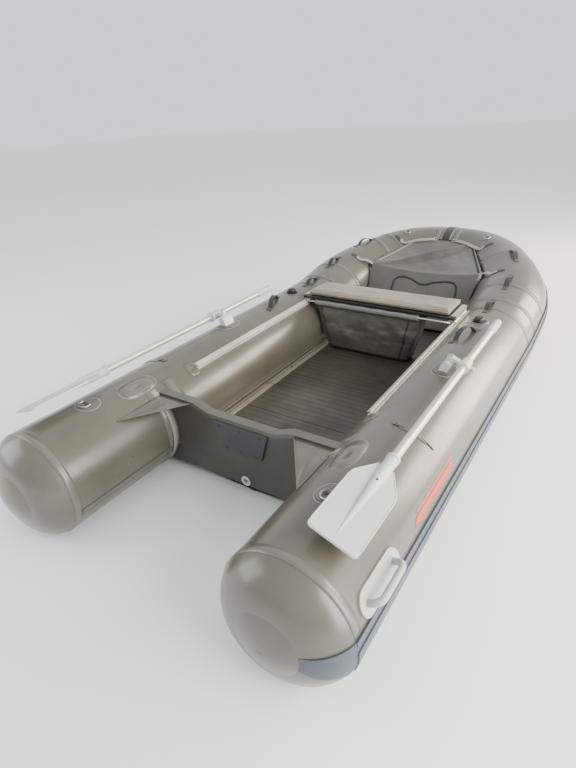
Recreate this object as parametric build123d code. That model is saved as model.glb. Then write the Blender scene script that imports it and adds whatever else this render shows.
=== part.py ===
from build123d import *

import math
import os

# ---------------------------------------------------------------- driving sizes, millimetres
# +Y is the bow, +X is starboard, Z = 0 is the ground under the side tubes.
LENGTH = 3340.0  # tube tip to the front of the rub strake
TUBE_SPACING = 1110.0  # between the side tubes' axes
TUBE_RADIUS = 210.0
FABRIC = 1.2  # wall of the air chambers
STERN_OVERHANG = 655.0  # tube tip to the transom's aft face

SHEER_ANGLE = 9.5  # the bow section rises in one inclined plane
BEND_HALF = 80.0  # half the length of the bend into that plane
BOW_REACH = 975.0  # from the bend to the bow's axis, along the incline
SHOULDER_REACH = 500.0  # from the bend to the first corner
FRONT_HALF = 270.0  # half the width between the two front corners
SHOULDER_RADIUS = 850.0
FRONT_RADIUS = 360.0

CONE_LENGTH = 93.0
CAP_RADIUS = 100.0
CAP_HEIGHT = 24.0
BAFFLE_DEPTH = 70.0

STRAKE_TOP_ANGLE = 12.0
STRAKE_LOW_ANGLE = -17.0
STRAKE_BASE = 4.0
STRAKE_RIB = 8.0
STRAKE_EDGE = 6.5

TRANSOM_THICKNESS = 32.0
TRANSOM_BOTTOM = 48.0
TRANSOM_TOP = 342.0
TRANSOM_SHOULDER = 368.0
TRANSOM_DIP_HALF = 160.0
TRANSOM_RAMP = 75.0
TRIM_THICKNESS = 7.0
TRIM_LIP = 12.0
TRIM_WALL = 4.0
GUSSET_START = 250.0  # from the centre line
GUSSET_LENGTH = 235.0
GUSSET_THICKNESS = 2.0
PAD_TOP_WIDTH = 262.0
PAD_LOW_WIDTH = 190.0
PAD_LOW = 205.0
PAD_THICKNESS = 10.0
PAD_INNER_THICKNESS = 5.0
SCREW_RADIUS = 3.0
SCREW_HEAD_RADIUS = 6.0
SCREW_HEAD = 2.5
DRAIN_HEIGHT = 72.0
DRAIN_BORE_RADIUS = 11.0
DRAIN_WALL = 3.0
DRAIN_FLANGE_RADIUS = 22.0
DRAIN_FLANGE = 4.0
DRAIN_NUT = 8.0
PLUG_DEPTH = 12.0

KEEL_DEEPEST = 4.0  # underside of the bottom fabric on the centre line
BOTTOM_ANGLE = 25.0  # where the bottom fabric meets a tube, from straight down
BOTTOM_FABRIC = 1.5
KEEL_RADIUS = 48.0
KEEL_AFT_GAP = 250.0
KEEL_LENGTH = 1130.0
STRIP_HALF = 16.0

FLOOR_BOTTOM = 104.0
FLOOR_THICKNESS = 15.0
FLOOR_WALL = 1.6
FLOOR_AFT_GAP = 60.0
PANEL_COUNT = 4
PANEL_LENGTH = 380.0
PANEL_HALF_WIDTH = 340.0
PANEL_CELLS = 10
GROOVE_WIDTH = 2.4
GROOVE_DEPTH = 0.8
JOINER_WEB = 4.0
JOINER_FLANGE = 22.0
JOINER_FLANGE_THICKNESS = 1.5
STRINGER_LAP = 24.0
STRINGER_WALL = 2.6
STRINGER_AFT = 590.0
STRINGER_FORE = 800.0
STRINGER_GAP = 6.0
BOW_BOARD_LENGTH = 340.0
BOW_BOARD_FRONT_HALF = 200.0
BOW_BOARD_THICKNESS = 12.0

RAIL_ANGLE = 125.0  # round a tube from its outer side
RAIL_AFT = 240.0  # from the transom
RAIL_LENGTH = 1170.0
RAIL_FLANGE_HALF = 11.0
RAIL_FLANGE = 3.0
RAIL_WEB_HALF = 3.0
RAIL_HEIGHT = 15.0
RAIL_FOOT_HALF = 18.0
RAIL_BED = 2.0
RAIL_BED_HALF = 28.0
SEAT_AFT = 1180.0  # from the transom
SEAT_DEPTH = 222.0
SEAT_HALF_LENGTH = 438.0
SEAT_BOARD_LOW = 415.0
SEAT_BOARD = 16.0
CUSHION_THICKNESS = 28.0
CUSHION_INSET = 6.0
BRACKET_LENGTH = 180.0
BRACKET_WALL = 4.4
END_CHANNEL = 3.0
BAG_SKIN = 2.0
BAG_DEPTH = 150.0
BAG_FLOOR_GAP = 10.0

OAR_ANGLE = 69.0  # normal of the plane that an oar swings in
OAR_HEIGHT = 55.0  # from the tube's skin to the shaft's axis
ROWLOCK_FROM_TRANSOM = 643.0
SHAFT_RADIUS = 15.0
SHAFT_WALL = 1.3
SHAFT_JOINT = 343.0  # from the rowlock, towards the blade
SPIGOT_LENGTH = 85.0
SHAFT_TO_BLADE = 800.0
SOCKET_START = 713.0
SOCKET_RADIUS = 20.0
BLADE_NECK = 765.0
BLADE_SHOULDER = 858.0
BLADE_TIP = 1098.0
BLADE_HALF_WIDTH = 75.0
BLADE_THICKNESS = 6.0
SPINE_TIP = 1065.0
GRIP_START = 371.0
GRIP_LENGTH = 131.0
GRIP_RADIUS = 18.0
COLLAR_HALF = 30.0
COLLAR_RADIUS = 21.0
COLLAR_RING_RADIUS = 25.0
PIN_OFFSET = 62.0
PIN_RADIUS = 6.0
EYE_RADIUS = 15.0
EYE_LOW = -8.0
EYE_HIGH = 4.0
KNOB_RADIUS = 14.0
BUTTON_RADIUS = 3.5
RUNNING = 0.06  # radial clearance of a shaft that turns in its hole
GAP = 0.3  # between pieces that only lie close

ROWLOCK_PAD_LENGTH = 118.0
ROWLOCK_PAD_WIDTH = 80.0
ROWLOCK_PAD = 4.0
ROWLOCK_RING = 2.0
ROWLOCK_RIM = 9.0

HANDLE_FROM_TRANSOM = -372.0
HANDLE_ANGLE = 23.6
HANDLE_LENGTH = 225.0
HANDLE_WIDTH = 80.0
HANDLE_BASE = 6.0
HANDLE_RISE = 42.0
HANDLE_BAR_RADIUS = 10.5
HANDLE_BAR_HALF = 78.0

DRING_FROM_TRANSOM = -262.0
DRING_ANGLE = 94.0
BOW_DRING_FROM_TRANSOM = 2400.0
BOW_DRING_ANGLE = 104.0
DRING_PATCH_RADIUS = 44.0
DRING_PATCH = 2.0
DRING_WIRE = 2.6
DRING_HALF_WIDTH = 19.0
DRING_REACH = 34.0
DRING_AXIS = 4.6  # above the patch

VALVE_FROM_TRANSOM = 1222.0
VALVE_ANGLE = 92.0
VALVE_FLANGE_RADIUS = 30.0
VALVE_FLANGE = 4.0
VALVE_NECK_RADIUS = 19.0
VALVE_NECK = 26.0
VALVE_CAP_RADIUS = 24.0
VALVE_CAP_HEIGHT = 17.0
VALVE_SPIGOT_RADIUS = 16.0
BOW_VALVE_ANGLE = 155.0

LOOP_WIDTH = 26.0
LOOP_THICKNESS = 2.6
LOOP_FOOT = 34.0
# distance from the transom, angle round the tube, clear length, rise, turn about the normal
LOOPS = (
    (1017.0, 94.0, 150.0, 44.0, -20.0),
    (1442.0, 94.0, 120.0, 30.0, 0.0),
    (1786.0, 90.0, 120.0, 30.0, 0.0),
    (2130.0, 86.0, 120.0, 30.0, 0.0),
)
BOW_HANDLE_WIDTH = 52.0
BOW_HANDLE_ANGLES = (52.0, 120.0)

CLIP_FROM_TRANSOM = 172.0
CLIP_WIDTH = 46.0
CLIP_THICKNESS = 2.2

BOW_BAG_SKIN = 2.5
BOW_BAG_FRONT_Y = 2330.0  # from the transom
BOW_BAG_FRONT_HALF = 185.0
BOW_BAG_FRONT_Z = 532.0
BOW_BAG_REAR_Y = 1925.0
BOW_BAG_REAR_HALF = 372.0
BOW_BAG_REAR_Z = 440.0
BOW_BAG_FOOT_Y = 1700.0
BOW_BAG_FOOT_HALF = 300.0
BOW_BAG_FOOT_Z = 128.0
BAG_STRAP_WIDTH = 24.0
BAG_STRAP_LENGTH = 72.0
BAG_STRAP_FRONT = (2318.0, 114.0)  # from the transom, angle round the tube
BAG_STRAP_REAR = (1950.0, 112.0)
BAG_STRAP_THICKNESS = 3.0

# ---------------------------------------------------------------- worked out from them
HALF = TUBE_SPACING / 2
SHEER = math.radians(SHEER_ANGLE)
TIP_Y = -LENGTH / 2
CAP_Y = TIP_Y + CAP_HEIGHT
SEAM_Y = CAP_Y + CONE_LENGTH
TRANSOM_Y = TIP_Y + STERN_OVERHANG
TRANSOM_FORE = TRANSOM_Y + TRANSOM_THICKNESS
FRONT_Y = LENGTH / 2 - TUBE_RADIUS - STRAKE_RIB
BEND_Y = FRONT_Y - BOW_REACH * math.cos(SHEER)
BEND_RADIUS = BEND_HALF / math.tan(SHEER / 2)
FLOOR_TOP = FLOOR_BOTTOM + FLOOR_THICKNESS
INCLINE_NORMAL = Vector(0, -math.sin(SHEER), math.cos(SHEER))

TUBE_AXIS = Axis((HALF, 0, TUBE_RADIUS), (0, 1, 0))


def from_transom(distance):
    """Y of a place given by its distance ahead of the transom's aft face."""
    return TRANSOM_Y + distance


def on_incline(x, reach):
    """A point of the bow section's axis plane."""
    return Vector(x, BEND_Y + reach * math.cos(SHEER), TUBE_RADIUS + reach * math.sin(SHEER))


def rounded_path(points, radii):
    """Straight runs joined by tangent arcs, as a list of edges in order."""
    edges = []
    start = points[0]
    for corner, after, radius, before in zip(points[1:-1], points[2:], radii, points[:-2]):
        back = (before - corner).normalized()
        ahead = (after - corner).normalized()
        half_turn = (math.pi - math.radians(back.get_angle(ahead))) / 2
        reach = radius * math.tan(half_turn)
        middle = (back + ahead).normalized()
        inner = radius / math.cos(half_turn) - radius
        enter, leave = corner + back * reach, corner + ahead * reach
        edges.append(Line(start, enter))
        edges.append(ThreePointArc(enter, corner + middle * inner, leave))
        start = leave
    edges.append(Line(start, points[-1]))
    return edges


CORNERS = [
    Vector(HALF, SEAM_Y, TUBE_RADIUS),
    on_incline(HALF, 0),
    on_incline(HALF, SHOULDER_REACH),
    on_incline(FRONT_HALF, BOW_REACH),
    on_incline(-FRONT_HALF, BOW_REACH),
    on_incline(-HALF, SHOULDER_REACH),
    on_incline(-HALF, 0),
    Vector(-HALF, SEAM_Y, TUBE_RADIUS),
]
RADII = [BEND_RADIUS, SHOULDER_RADIUS, FRONT_RADIUS, FRONT_RADIUS, SHOULDER_RADIUS, BEND_RADIUS]
ROUTE = rounded_path(CORNERS, RADII)
STARBOARD_ROUTE, BOW_ROUTE = ROUTE[:2], ROUTE[2:11]
FRONT_RUN = ROUTE[6]


# ---------------------------------------------------------------- helpers
def block(x0, x1, y0, y1, z0, z1):
    """A box between two corners."""
    return Pos((x0 + x1) / 2, (y0 + y1) / 2, (z0 + z1) / 2) * Box(x1 - x0, y1 - y0, z1 - z0)


def rod(plane, radius, low, high):
    """A round bar along a plane's normal, between two heights."""
    return plane * Pos(0, 0, (low + high) / 2) * Cylinder(radius, high - low)


def sleeve(plane, outer, inner, low, high):
    """A round pipe along a plane's normal, between two heights."""
    return rod(plane, outer, low, high) - rod(plane, inner, low - 1, high + 1)


def plane_in(frame, origin, z_dir=(0, 0, 1)):
    """A plane given in a frame's own directions, with its X along the frame's."""
    return Plane(frame * Plane(origin, x_dir=(1, 0, 0), z_dir=z_dir))


def polygon_face(points):
    """A flat face through 2-D points."""
    return make_face(Polyline(*points, close=True))


def section_at(edge, start=0.0):
    """The plane square to a run of the route, X outboard and Y along the section's up."""
    along = edge % start
    upward = Vector(0, 0, 1) if abs(along.X) < 1e-6 and abs(along.Z) < 1e-6 else INCLINE_NORMAL
    outboard = along.cross(upward).normalized()
    return Plane(edge @ start, x_dir=outboard, z_dir=along * -1)


def swept(edge, sketch):
    """A section carried along one run of the route."""
    return sweep(section_at(edge) * sketch, path=edge)


def full_tubes(radius, edges):
    """The route's runs as solid round bars."""
    return [swept(edge, Circle(radius)) for edge in edges]


def side_section(face, y0, y1):
    """A section drawn about the starboard tube's axis, X outboard and Y up, from y0 to y1."""
    plane = Plane((HALF, y0, TUBE_RADIUS), x_dir=(1, 0, 0), z_dir=(0, -1, 0))
    return extrude(plane * face, amount=-(y1 - y0))


def ring_sector(inner, outer, low_angle, high_angle):
    """A piece of a ring between two angles from the outboard side."""
    wedge = [(0, 0)]
    reach = outer * 1.6
    for step in range(5):
        angle = math.radians(low_angle + (high_angle - low_angle) * step / 4)
        wedge.append((reach * math.cos(angle), reach * math.sin(angle)))
    return (Circle(outer) - Circle(inner)) & polygon_face(wedge)


def tube_frame(distance, angle, lift=0.0):
    """The tangent plane of the starboard tube: X along the tube, Z out of its skin."""
    y = from_transom(distance)
    edge = next(run for run in ROUTE if min((run @ 0).Y, (run @ 1).Y) <= y <= max((run @ 0).Y, (run @ 1).Y))
    low, high = 0.0, 1.0
    for _ in range(40):
        middle = (low + high) / 2
        low, high = (middle, high) if (edge @ middle).Y < y else (low, middle)
    along = edge % low
    outboard = along.cross(Vector(0, 0, 1)).normalized()
    upward = outboard.cross(along)
    turn = math.radians(angle)
    normal = outboard * math.cos(turn) + upward * math.sin(turn)
    return Plane(edge @ low + normal * (TUBE_RADIUS + lift), x_dir=along, z_dir=normal)


def runs_near(distance, reach):
    """The starboard runs of the route within reach of a place along the boat."""
    low, high = from_transom(distance - reach), from_transom(distance + reach)
    return [run for run in ROUTE[:6] if (run @ 1).Y > low and (run @ 0).Y < high]


def skin_patch(frame, outline, thickness, edges, under=0.0):
    """A patch on the skin, or on the layer under it: an outline cut out of a layer of the tube."""
    prism = frame * extrude(outline, amount=40, both=True)
    parts = []
    for edge in edges:
        below = swept(edge, Circle(TUBE_RADIUS + under))
        for raised in (prism & swept(edge, Circle(TUBE_RADIUS + under + thickness))).solids():
            parts += (raised - below).solids()
    whole = parts[0]
    for part in parts[1:]:
        whole = whole + part
    return whole


def other_side(shape):
    """The port copy of a starboard piece."""
    return mirror(shape, about=Plane.YZ)


def both_sides(shape):
    """A starboard piece with its port copy."""
    return [shape, other_side(shape)]


# ---------------------------------------------------------------- air chambers
def chamber_runs(edges):
    """Fabric pipes, one for each welded panel of a chamber."""
    return [swept(edge, Circle(TUBE_RADIUS) - Circle(TUBE_RADIUS - FABRIC)) for edge in edges]


def valve_frames():
    """Planes of the three inflation valves: starboard, port and bow."""
    starboard = tube_frame(VALVE_FROM_TRANSOM, VALVE_ANGLE)
    port_normal = Vector(-starboard.z_dir.X, starboard.z_dir.Y, starboard.z_dir.Z)
    port_origin = Vector(-starboard.origin.X, starboard.origin.Y, starboard.origin.Z)
    port = Plane(port_origin, x_dir=(0, 1, 0), z_dir=port_normal)
    section = section_at(FRONT_RUN, 0.5)
    turn = math.radians(BOW_VALVE_ANGLE)
    normal = section.x_dir * math.cos(turn) + section.y_dir * math.sin(turn)
    bow = Plane(section.origin + normal * TUBE_RADIUS, x_dir=(1, 0, 0), z_dir=normal)
    return starboard, port, bow


def with_valve_hole(runs, frame):
    """The chamber's panels with a hole for a valve's neck."""
    hole = rod(frame, VALVE_NECK_RADIUS + GAP, -VALVE_NECK, VALVE_NECK)
    return [run - hole for run in runs]


def stern_cone():
    """The rounded cone welded to a tube's end."""
    outer = ThreePointArc((TUBE_RADIUS, SEAM_Y), (168, SEAM_Y - 62), (CAP_RADIUS, CAP_Y))
    inner = ThreePointArc(
        (CAP_RADIUS - FABRIC, CAP_Y), (168 - FABRIC, SEAM_Y - 61.2), (TUBE_RADIUS - FABRIC, SEAM_Y)
    )
    ends = [Line(outer @ 1, inner @ 0), Line(inner @ 1, outer @ 0)]
    face = make_face([outer, ends[0], inner, ends[1]])
    return revolve(Pos(HALF, 0, TUBE_RADIUS) * face, axis=TUBE_AXIS)


def dome_face(radius, height, wall):
    """Half the profile of a dished shell that stands on its rim at Y = 0 and rises to height."""
    arcs = []
    for rim, rise in ((radius, height), (radius - wall, height - wall)):
        ball = (rim**2 + rise**2) / (2 * rise)
        half = math.asin(rim / ball) / 2
        arcs.append(
            ThreePointArc(
                (rim, 0), (ball * math.sin(half), rise - ball * (1 - math.cos(half))), (0, rise)
            )
        )
    outer, inner = arcs
    return make_face([outer, Line(outer @ 1, inner @ 1), inner, Line(inner @ 0, outer @ 0)])


def end_cap():
    """The shallow moulded dome over the cone's hole."""
    dome = revolve(dome_face(CAP_RADIUS, CAP_HEIGHT, 3 * FABRIC), axis=Axis.Y)
    return Pos(HALF, CAP_Y, TUBE_RADIUS) * Rot(180, 0, 0) * dome


def chamber_baffle():
    """The dished fabric wall that parts a side chamber from the bow chamber."""
    dish = revolve(dome_face(TUBE_RADIUS - FABRIC - GAP, BAFFLE_DEPTH, FABRIC), axis=Axis.Y)
    start = BOW_ROUTE[0]
    seat = Plane(start @ 0, x_dir=(1, 0, 0), z_dir=Vector(1, 0, 0).cross(start % 0))
    return seat * dish


# ---------------------------------------------------------------- rub strake
def strake_section():
    """Ribbed rubber strip on the outer side of the tube."""
    span = STRAKE_TOP_ANGLE - STRAKE_LOW_ANGLE
    layers = (
        (0.0, 1.0, STRAKE_BASE),
        (0.0, 0.13, STRAKE_EDGE),
        (0.3, 0.7, STRAKE_RIB),
        (0.87, 1.0, STRAKE_EDGE),
    )
    face = None
    for start, end, thick in layers:
        sector = ring_sector(
            TUBE_RADIUS, TUBE_RADIUS + thick, STRAKE_LOW_ANGLE + span * start, STRAKE_LOW_ANGLE + span * end
        )
        face = sector if face is None else face + sector
    return face


def strake_cone_end():
    """The strake's tail, tapering over the stern cone."""
    lift = STRAKE_BASE
    inner = ThreePointArc((TUBE_RADIUS, SEAM_Y), (168, SEAM_Y - 62), (CAP_RADIUS, CAP_Y))
    outer = ThreePointArc(
        (CAP_RADIUS + lift, CAP_Y), (168 + lift, SEAM_Y - 62 - lift * 0.6), (TUBE_RADIUS + lift, SEAM_Y)
    )
    face = make_face([inner, Line(inner @ 1, outer @ 0), outer, Line(outer @ 1, inner @ 0)])
    placed = Pos(HALF, 0, TUBE_RADIUS) * face
    turned = placed.rotate(TUBE_AXIS, -STRAKE_TOP_ANGLE)
    return revolve(turned, axis=TUBE_AXIS, revolution_arc=STRAKE_TOP_ANGLE - STRAKE_LOW_ANGLE)


def rub_strake():
    """The starboard half, from the stern cap to the middle of the bow."""
    face = strake_section()
    half_front = Line(FRONT_RUN @ 0, FRONT_RUN @ 0.5)
    whole = strake_cone_end()
    for edge in ROUTE[:6] + [half_front]:
        whole = whole + swept(edge, face)
    return whole


# ---------------------------------------------------------------- transom
def side_tube_bars():
    """Both side tubes as solid bars, to cut what is fitted between them."""
    bar = side_section(Circle(TUBE_RADIUS), SEAM_Y, BEND_Y - BEND_HALF)
    return both_sides(bar)


def cut_by(shape, cutters):
    """A shape with every cutter taken away."""
    for cutter in cutters:
        shape = shape - cutter
    return shape


def upright(points, y0, y1):
    """An outline in X and Z, given a thickness from y0 to y1."""
    plane = Plane((0, y0, 0), x_dir=(1, 0, 0), z_dir=(0, -1, 0))
    return extrude(plane * polygon_face(points), amount=-(y1 - y0))


def top_line(rise):
    """The transom's top outline, lifted by rise."""
    side = HALF - TUBE_RADIUS / 2
    ramp_end = TRANSOM_DIP_HALF + TRANSOM_RAMP
    right = [
        (side, TRANSOM_SHOULDER + rise),
        (ramp_end, TRANSOM_SHOULDER + rise),
        (TRANSOM_DIP_HALF, TRANSOM_TOP + rise),
    ]
    return right + [(-x, z) for x, z in reversed(right)]


def screw_places():
    """X and Z of the motor pad's screws."""
    low = PAD_LOW + 12
    high = TRANSOM_TOP - TRIM_LIP - 18
    return [(x, low) for x in (-72, 0, 72)] + [(x, high) for x in (-98, 0, 98)]


def bolt_plane(x, z):
    """A plane on the transom's aft face that looks forward."""
    return Plane((x, TRANSOM_Y, z), x_dir=(1, 0, 0), z_dir=(0, 1, 0))


def screw_holes():
    """Clearance holes through the pads and the board."""
    reach = TRANSOM_THICKNESS + PAD_INNER_THICKNESS + 5
    return [rod(bolt_plane(x, z), SCREW_RADIUS + 0.2, -PAD_THICKNESS - 5, reach) for x, z in screw_places()]


def transom_board(bars, holes):
    """Plywood board with the dip for the motor, shaped to the tubes."""
    side = HALF - TUBE_RADIUS / 2
    outline = [(-side, TRANSOM_BOTTOM), (side, TRANSOM_BOTTOM)] + top_line(0)
    drain = rod(bolt_plane(0, DRAIN_HEIGHT), DRAIN_BORE_RADIUS + DRAIN_WALL, -10, TRANSOM_THICKNESS + 10)
    return cut_by(upright(outline, TRANSOM_Y, TRANSOM_FORE), bars + holes + [drain])


def transom_trim(bars):
    """Moulded channel pushed over the board's top edge."""
    low = [(x, z) for x, z in reversed(top_line(-TRIM_LIP))]
    outline = top_line(TRIM_THICKNESS) + low
    cap = upright(outline, TRANSOM_Y - TRIM_WALL, TRANSOM_FORE + TRIM_WALL)
    side = HALF - TUBE_RADIUS / 2
    board = upright([(-side, 0), (side, 0)] + top_line(0), TRANSOM_Y, TRANSOM_FORE)
    return cut_by(cap, bars + [board])


def transom_gusset(bars):
    """Fabric web from the transom's corner to the tube behind it."""
    aft = TRANSOM_Y - TRIM_WALL
    side = HALF - TUBE_RADIUS / 2
    reach = HALF - math.sqrt(TUBE_RADIUS**2 - (TRANSOM_SHOULDER - TUBE_RADIUS) ** 2)
    slope = (reach - GUSSET_START) / GUSSET_LENGTH
    corner = (side, aft - GUSSET_LENGTH - (side - reach) / slope)
    face = polygon_face([(GUSSET_START, aft), (side, aft), corner])
    web = extrude(Pos(0, 0, TRANSOM_SHOULDER - GUSSET_THICKNESS) * face, amount=GUSSET_THICKNESS)
    return cut_by(web, bars[:1])


def motor_pad_outer(holes):
    """Moulded plate that the motor's clamp bears on."""
    high = TRANSOM_TOP - TRIM_LIP - 1
    outline = [
        (-PAD_LOW_WIDTH / 2, PAD_LOW),
        (PAD_LOW_WIDTH / 2, PAD_LOW),
        (PAD_TOP_WIDTH / 2, high),
        (-PAD_TOP_WIDTH / 2, high),
    ]
    plate = upright(outline, TRANSOM_Y - PAD_THICKNESS, TRANSOM_Y)
    plate = fillet(plate.edges().filter_by(Axis.Y), 9)
    heads = [
        rod(bolt_plane(x, z), SCREW_HEAD_RADIUS + 0.2, -PAD_THICKNESS - 2, SCREW_HEAD - PAD_THICKNESS)
        for x, z in screw_places()
    ]
    return cut_by(plate, holes + heads)


def motor_pad_inner(holes):
    """Plate on the cockpit side for the clamp screws."""
    high = TRANSOM_TOP - TRIM_LIP - 1
    half = PAD_TOP_WIDTH / 2 - 8
    outline = [(-half, PAD_LOW), (half, PAD_LOW), (half, high), (-half, high)]
    plate = upright(outline, TRANSOM_FORE, TRANSOM_FORE + PAD_INNER_THICKNESS)
    return cut_by(fillet(plate.edges().filter_by(Axis.Y), 9), holes)


def motor_pad_screws():
    """Through screws with flush heads aft and dome nuts forward."""
    screws = []
    fore = TRANSOM_THICKNESS + PAD_INNER_THICKNESS
    for x, z in screw_places():
        plane = bolt_plane(x, z)
        shank = rod(plane, SCREW_RADIUS, -PAD_THICKNESS, fore + 6)
        head = rod(plane, SCREW_HEAD_RADIUS, -PAD_THICKNESS, SCREW_HEAD - PAD_THICKNESS)
        nut = rod(plane, SCREW_HEAD_RADIUS, fore, fore + 6)
        screws.append(shank + head + nut)
    return screws


def drain_parts():
    """Flanged housing, its nut and the pull-out plug."""
    plane = bolt_plane(0, DRAIN_HEIGHT)
    outer = DRAIN_BORE_RADIUS + DRAIN_WALL
    end = TRANSOM_THICKNESS + DRAIN_NUT + 4
    housing = sleeve(plane, outer, DRAIN_BORE_RADIUS, -DRAIN_FLANGE, end)
    flange = sleeve(plane, DRAIN_FLANGE_RADIUS, DRAIN_BORE_RADIUS, -DRAIN_FLANGE, 0)
    hexagon = RegularPolygon(DRAIN_FLANGE_RADIUS - 2, 6) - Circle(outer)
    nut = extrude(Plane((0, TRANSOM_FORE, DRAIN_HEIGHT), x_dir=(1, 0, 0), z_dir=(0, 1, 0)) * hexagon, DRAIN_NUT)
    stem = rod(plane, DRAIN_BORE_RADIUS - RUNNING, end - PLUG_DEPTH, end)
    head = rod(plane, outer, end, end + 3)
    pull = block(-6, 6, TRANSOM_Y + end + 3, TRANSOM_Y + end + 15, DRAIN_HEIGHT - 2, DRAIN_HEIGHT + 2)
    grip_hole = Pos(0, TRANSOM_Y + end + 10, DRAIN_HEIGHT) * Cylinder(3, 10)
    return housing + flange, nut, stem + head + pull - grip_hole


# ---------------------------------------------------------------- bottom and floor
def keel_route():
    """The centre line of the bottom: level, then up the incline."""
    points = [Vector(0, TRANSOM_FORE, TUBE_RADIUS), on_incline(0, 0), on_incline(0, BOW_REACH)]
    return rounded_path(points, [BEND_RADIUS])


def bottom_section(low, high, half):
    """A shallow V, half as wide each side, between two layers below the route."""
    side_x = HALF - TUBE_RADIUS * math.sin(math.radians(BOTTOM_ANGLE))
    side_z = TUBE_RADIUS * (1 - math.cos(math.radians(BOTTOM_ANGLE)))
    slope = (side_z - KEEL_DEEPEST) / side_x
    keel = KEEL_DEEPEST - TUBE_RADIUS
    rise = half * slope
    return polygon_face(
        [
            (-half, keel + rise + low),
            (0, keel + low),
            (half, keel + rise + low),
            (half, keel + rise + high),
            (0, keel + high),
            (-half, keel + rise + high),
        ]
    )


def bottom_fabric():
    """The hull's skin between the tubes."""
    half = HALF - TUBE_RADIUS * math.sin(math.radians(BOTTOM_ANGLE)) + 6
    face = bottom_section(0, BOTTOM_FABRIC, half)
    sheet = None
    for edge in keel_route():
        run = swept(edge, face)
        sheet = run if sheet is None else sheet + run
    sheet = cut_by(sheet, full_tubes(TUBE_RADIUS, ROUTE))
    return max(sheet.solids(), key=lambda solid: solid.volume)


def keel_strip():
    """Wear strip welded along the keel, under the level part of the bottom."""
    face = bottom_section(0.4 - KEEL_DEEPEST, 0, STRIP_HALF)
    return swept(keel_route()[0], face)


def capsule(radius, length):
    """A round-ended bar along +Y from the origin."""
    outline = make_face(
        [
            Line((0, 0), (0, length)),
            JernArc((0, length), (1, 0), radius, -90),
            Line((radius, length - radius), (radius, radius)),
            JernArc((radius, radius), (0, -1), radius, -90),
        ]
    )
    return revolve(outline, axis=Axis.Y)


def keel_tube():
    """The inflatable keel between the bottom fabric and the floor."""
    height = KEEL_DEEPEST + BOTTOM_FABRIC + GAP + KEEL_RADIUS
    outer = Pos(0, TRANSOM_FORE + KEEL_AFT_GAP, height) * capsule(KEEL_RADIUS, KEEL_LENGTH)
    inner = capsule(KEEL_RADIUS - FABRIC, KEEL_LENGTH - 2 * FABRIC)
    return outer - Pos(0, TRANSOM_FORE + KEEL_AFT_GAP + FABRIC, height) * inner


def panel_start(index):
    """Y of a floor panel's aft edge."""
    return from_transom(FLOOR_AFT_GAP) + index * (PANEL_LENGTH + JOINER_WEB + 0.4)


def along_x(points, half):
    """An outline in Y and Z, given a width of half each side."""
    plane = Plane((-half, 0, 0), x_dir=(0, 1, 0), z_dir=(1, 0, 0))
    return extrude(plane * polygon_face(points), amount=2 * half)


def floor_panel(index):
    """A hollow extruded panel with shallow grooves across its top."""
    start = panel_start(index)
    end = start + PANEL_LENGTH
    outline = [(start, FLOOR_BOTTOM), (end, FLOOR_BOTTOM), (end, FLOOR_TOP), (start, FLOOR_TOP)]
    section = polygon_face(outline)
    pitch = PANEL_LENGTH / PANEL_CELLS
    for cell in range(PANEL_CELLS):
        middle = start + pitch * (cell + 0.5)
        hole = Pos(middle, FLOOR_BOTTOM + FLOOR_THICKNESS / 2) * Rectangle(
            pitch - FLOOR_WALL, FLOOR_THICKNESS - 2 * FLOOR_WALL
        )
        section = section - hole
        if cell:
            groove = Pos(start + pitch * cell, FLOOR_TOP) * Rectangle(GROOVE_WIDTH, 2 * GROOVE_DEPTH)
            section = section - groove
    plane = Plane((-PANEL_HALF_WIDTH, 0, 0), x_dir=(0, 1, 0), z_dir=(1, 0, 0))
    return extrude(plane * section, amount=2 * PANEL_HALF_WIDTH)


def floor_joiner(index):
    """An H section between one panel and the next."""
    middle = panel_start(index) - 0.2 - JOINER_WEB / 2
    web, wing, thick = JOINER_WEB / 2, JOINER_FLANGE / 2, JOINER_FLANGE_THICKNESS
    half = PANEL_HALF_WIDTH - STRINGER_LAP - 1
    low, high = FLOOR_BOTTOM, FLOOR_TOP
    outline = [
        (-wing, low - thick),
        (wing, low - thick),
        (wing, low),
        (web, low),
        (web, high),
        (wing, high),
        (wing, high + thick),
        (-wing, high + thick),
        (-wing, high),
        (-web, high),
        (-web, low),
        (-wing, low),
    ]
    return along_x([(middle + y, z) for y, z in outline], half)


def side_stringers():
    """Edge channels in two lengths a side, wedged between the floor and the tube."""
    top = FLOOR_TOP + STRINGER_WALL + 0.2
    low = FLOOR_BOTTOM - STRINGER_WALL - 0.2
    inner = PANEL_HALF_WIDTH - STRINGER_LAP
    outer = HALF - math.sqrt(TUBE_RADIUS**2 - (TUBE_RADIUS - top) ** 2) - GAP
    web = PANEL_HALF_WIDTH + 0.3
    outline = [
        (inner, low),
        (outer, low),
        (outer, top),
        (outer - 6, top),
        (outer - 6, FLOOR_BOTTOM + 4),
        (web + STRINGER_WALL, FLOOR_BOTTOM + 4),
        (web + STRINGER_WALL, top),
        (inner, top),
        (inner, FLOOR_TOP + 0.2),
        (web, FLOOR_TOP + 0.2),
        (web, FLOOR_BOTTOM - 0.2),
        (inner, FLOOR_BOTTOM - 0.2),
    ]
    start = from_transom(FLOOR_AFT_GAP + 10)
    fore = start + STRINGER_AFT + STRINGER_GAP
    lengths = [upright(outline, start, start + STRINGER_AFT), upright(outline, fore, fore + STRINGER_FORE)]
    return [piece for length in lengths for piece in both_sides(length)]


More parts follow.
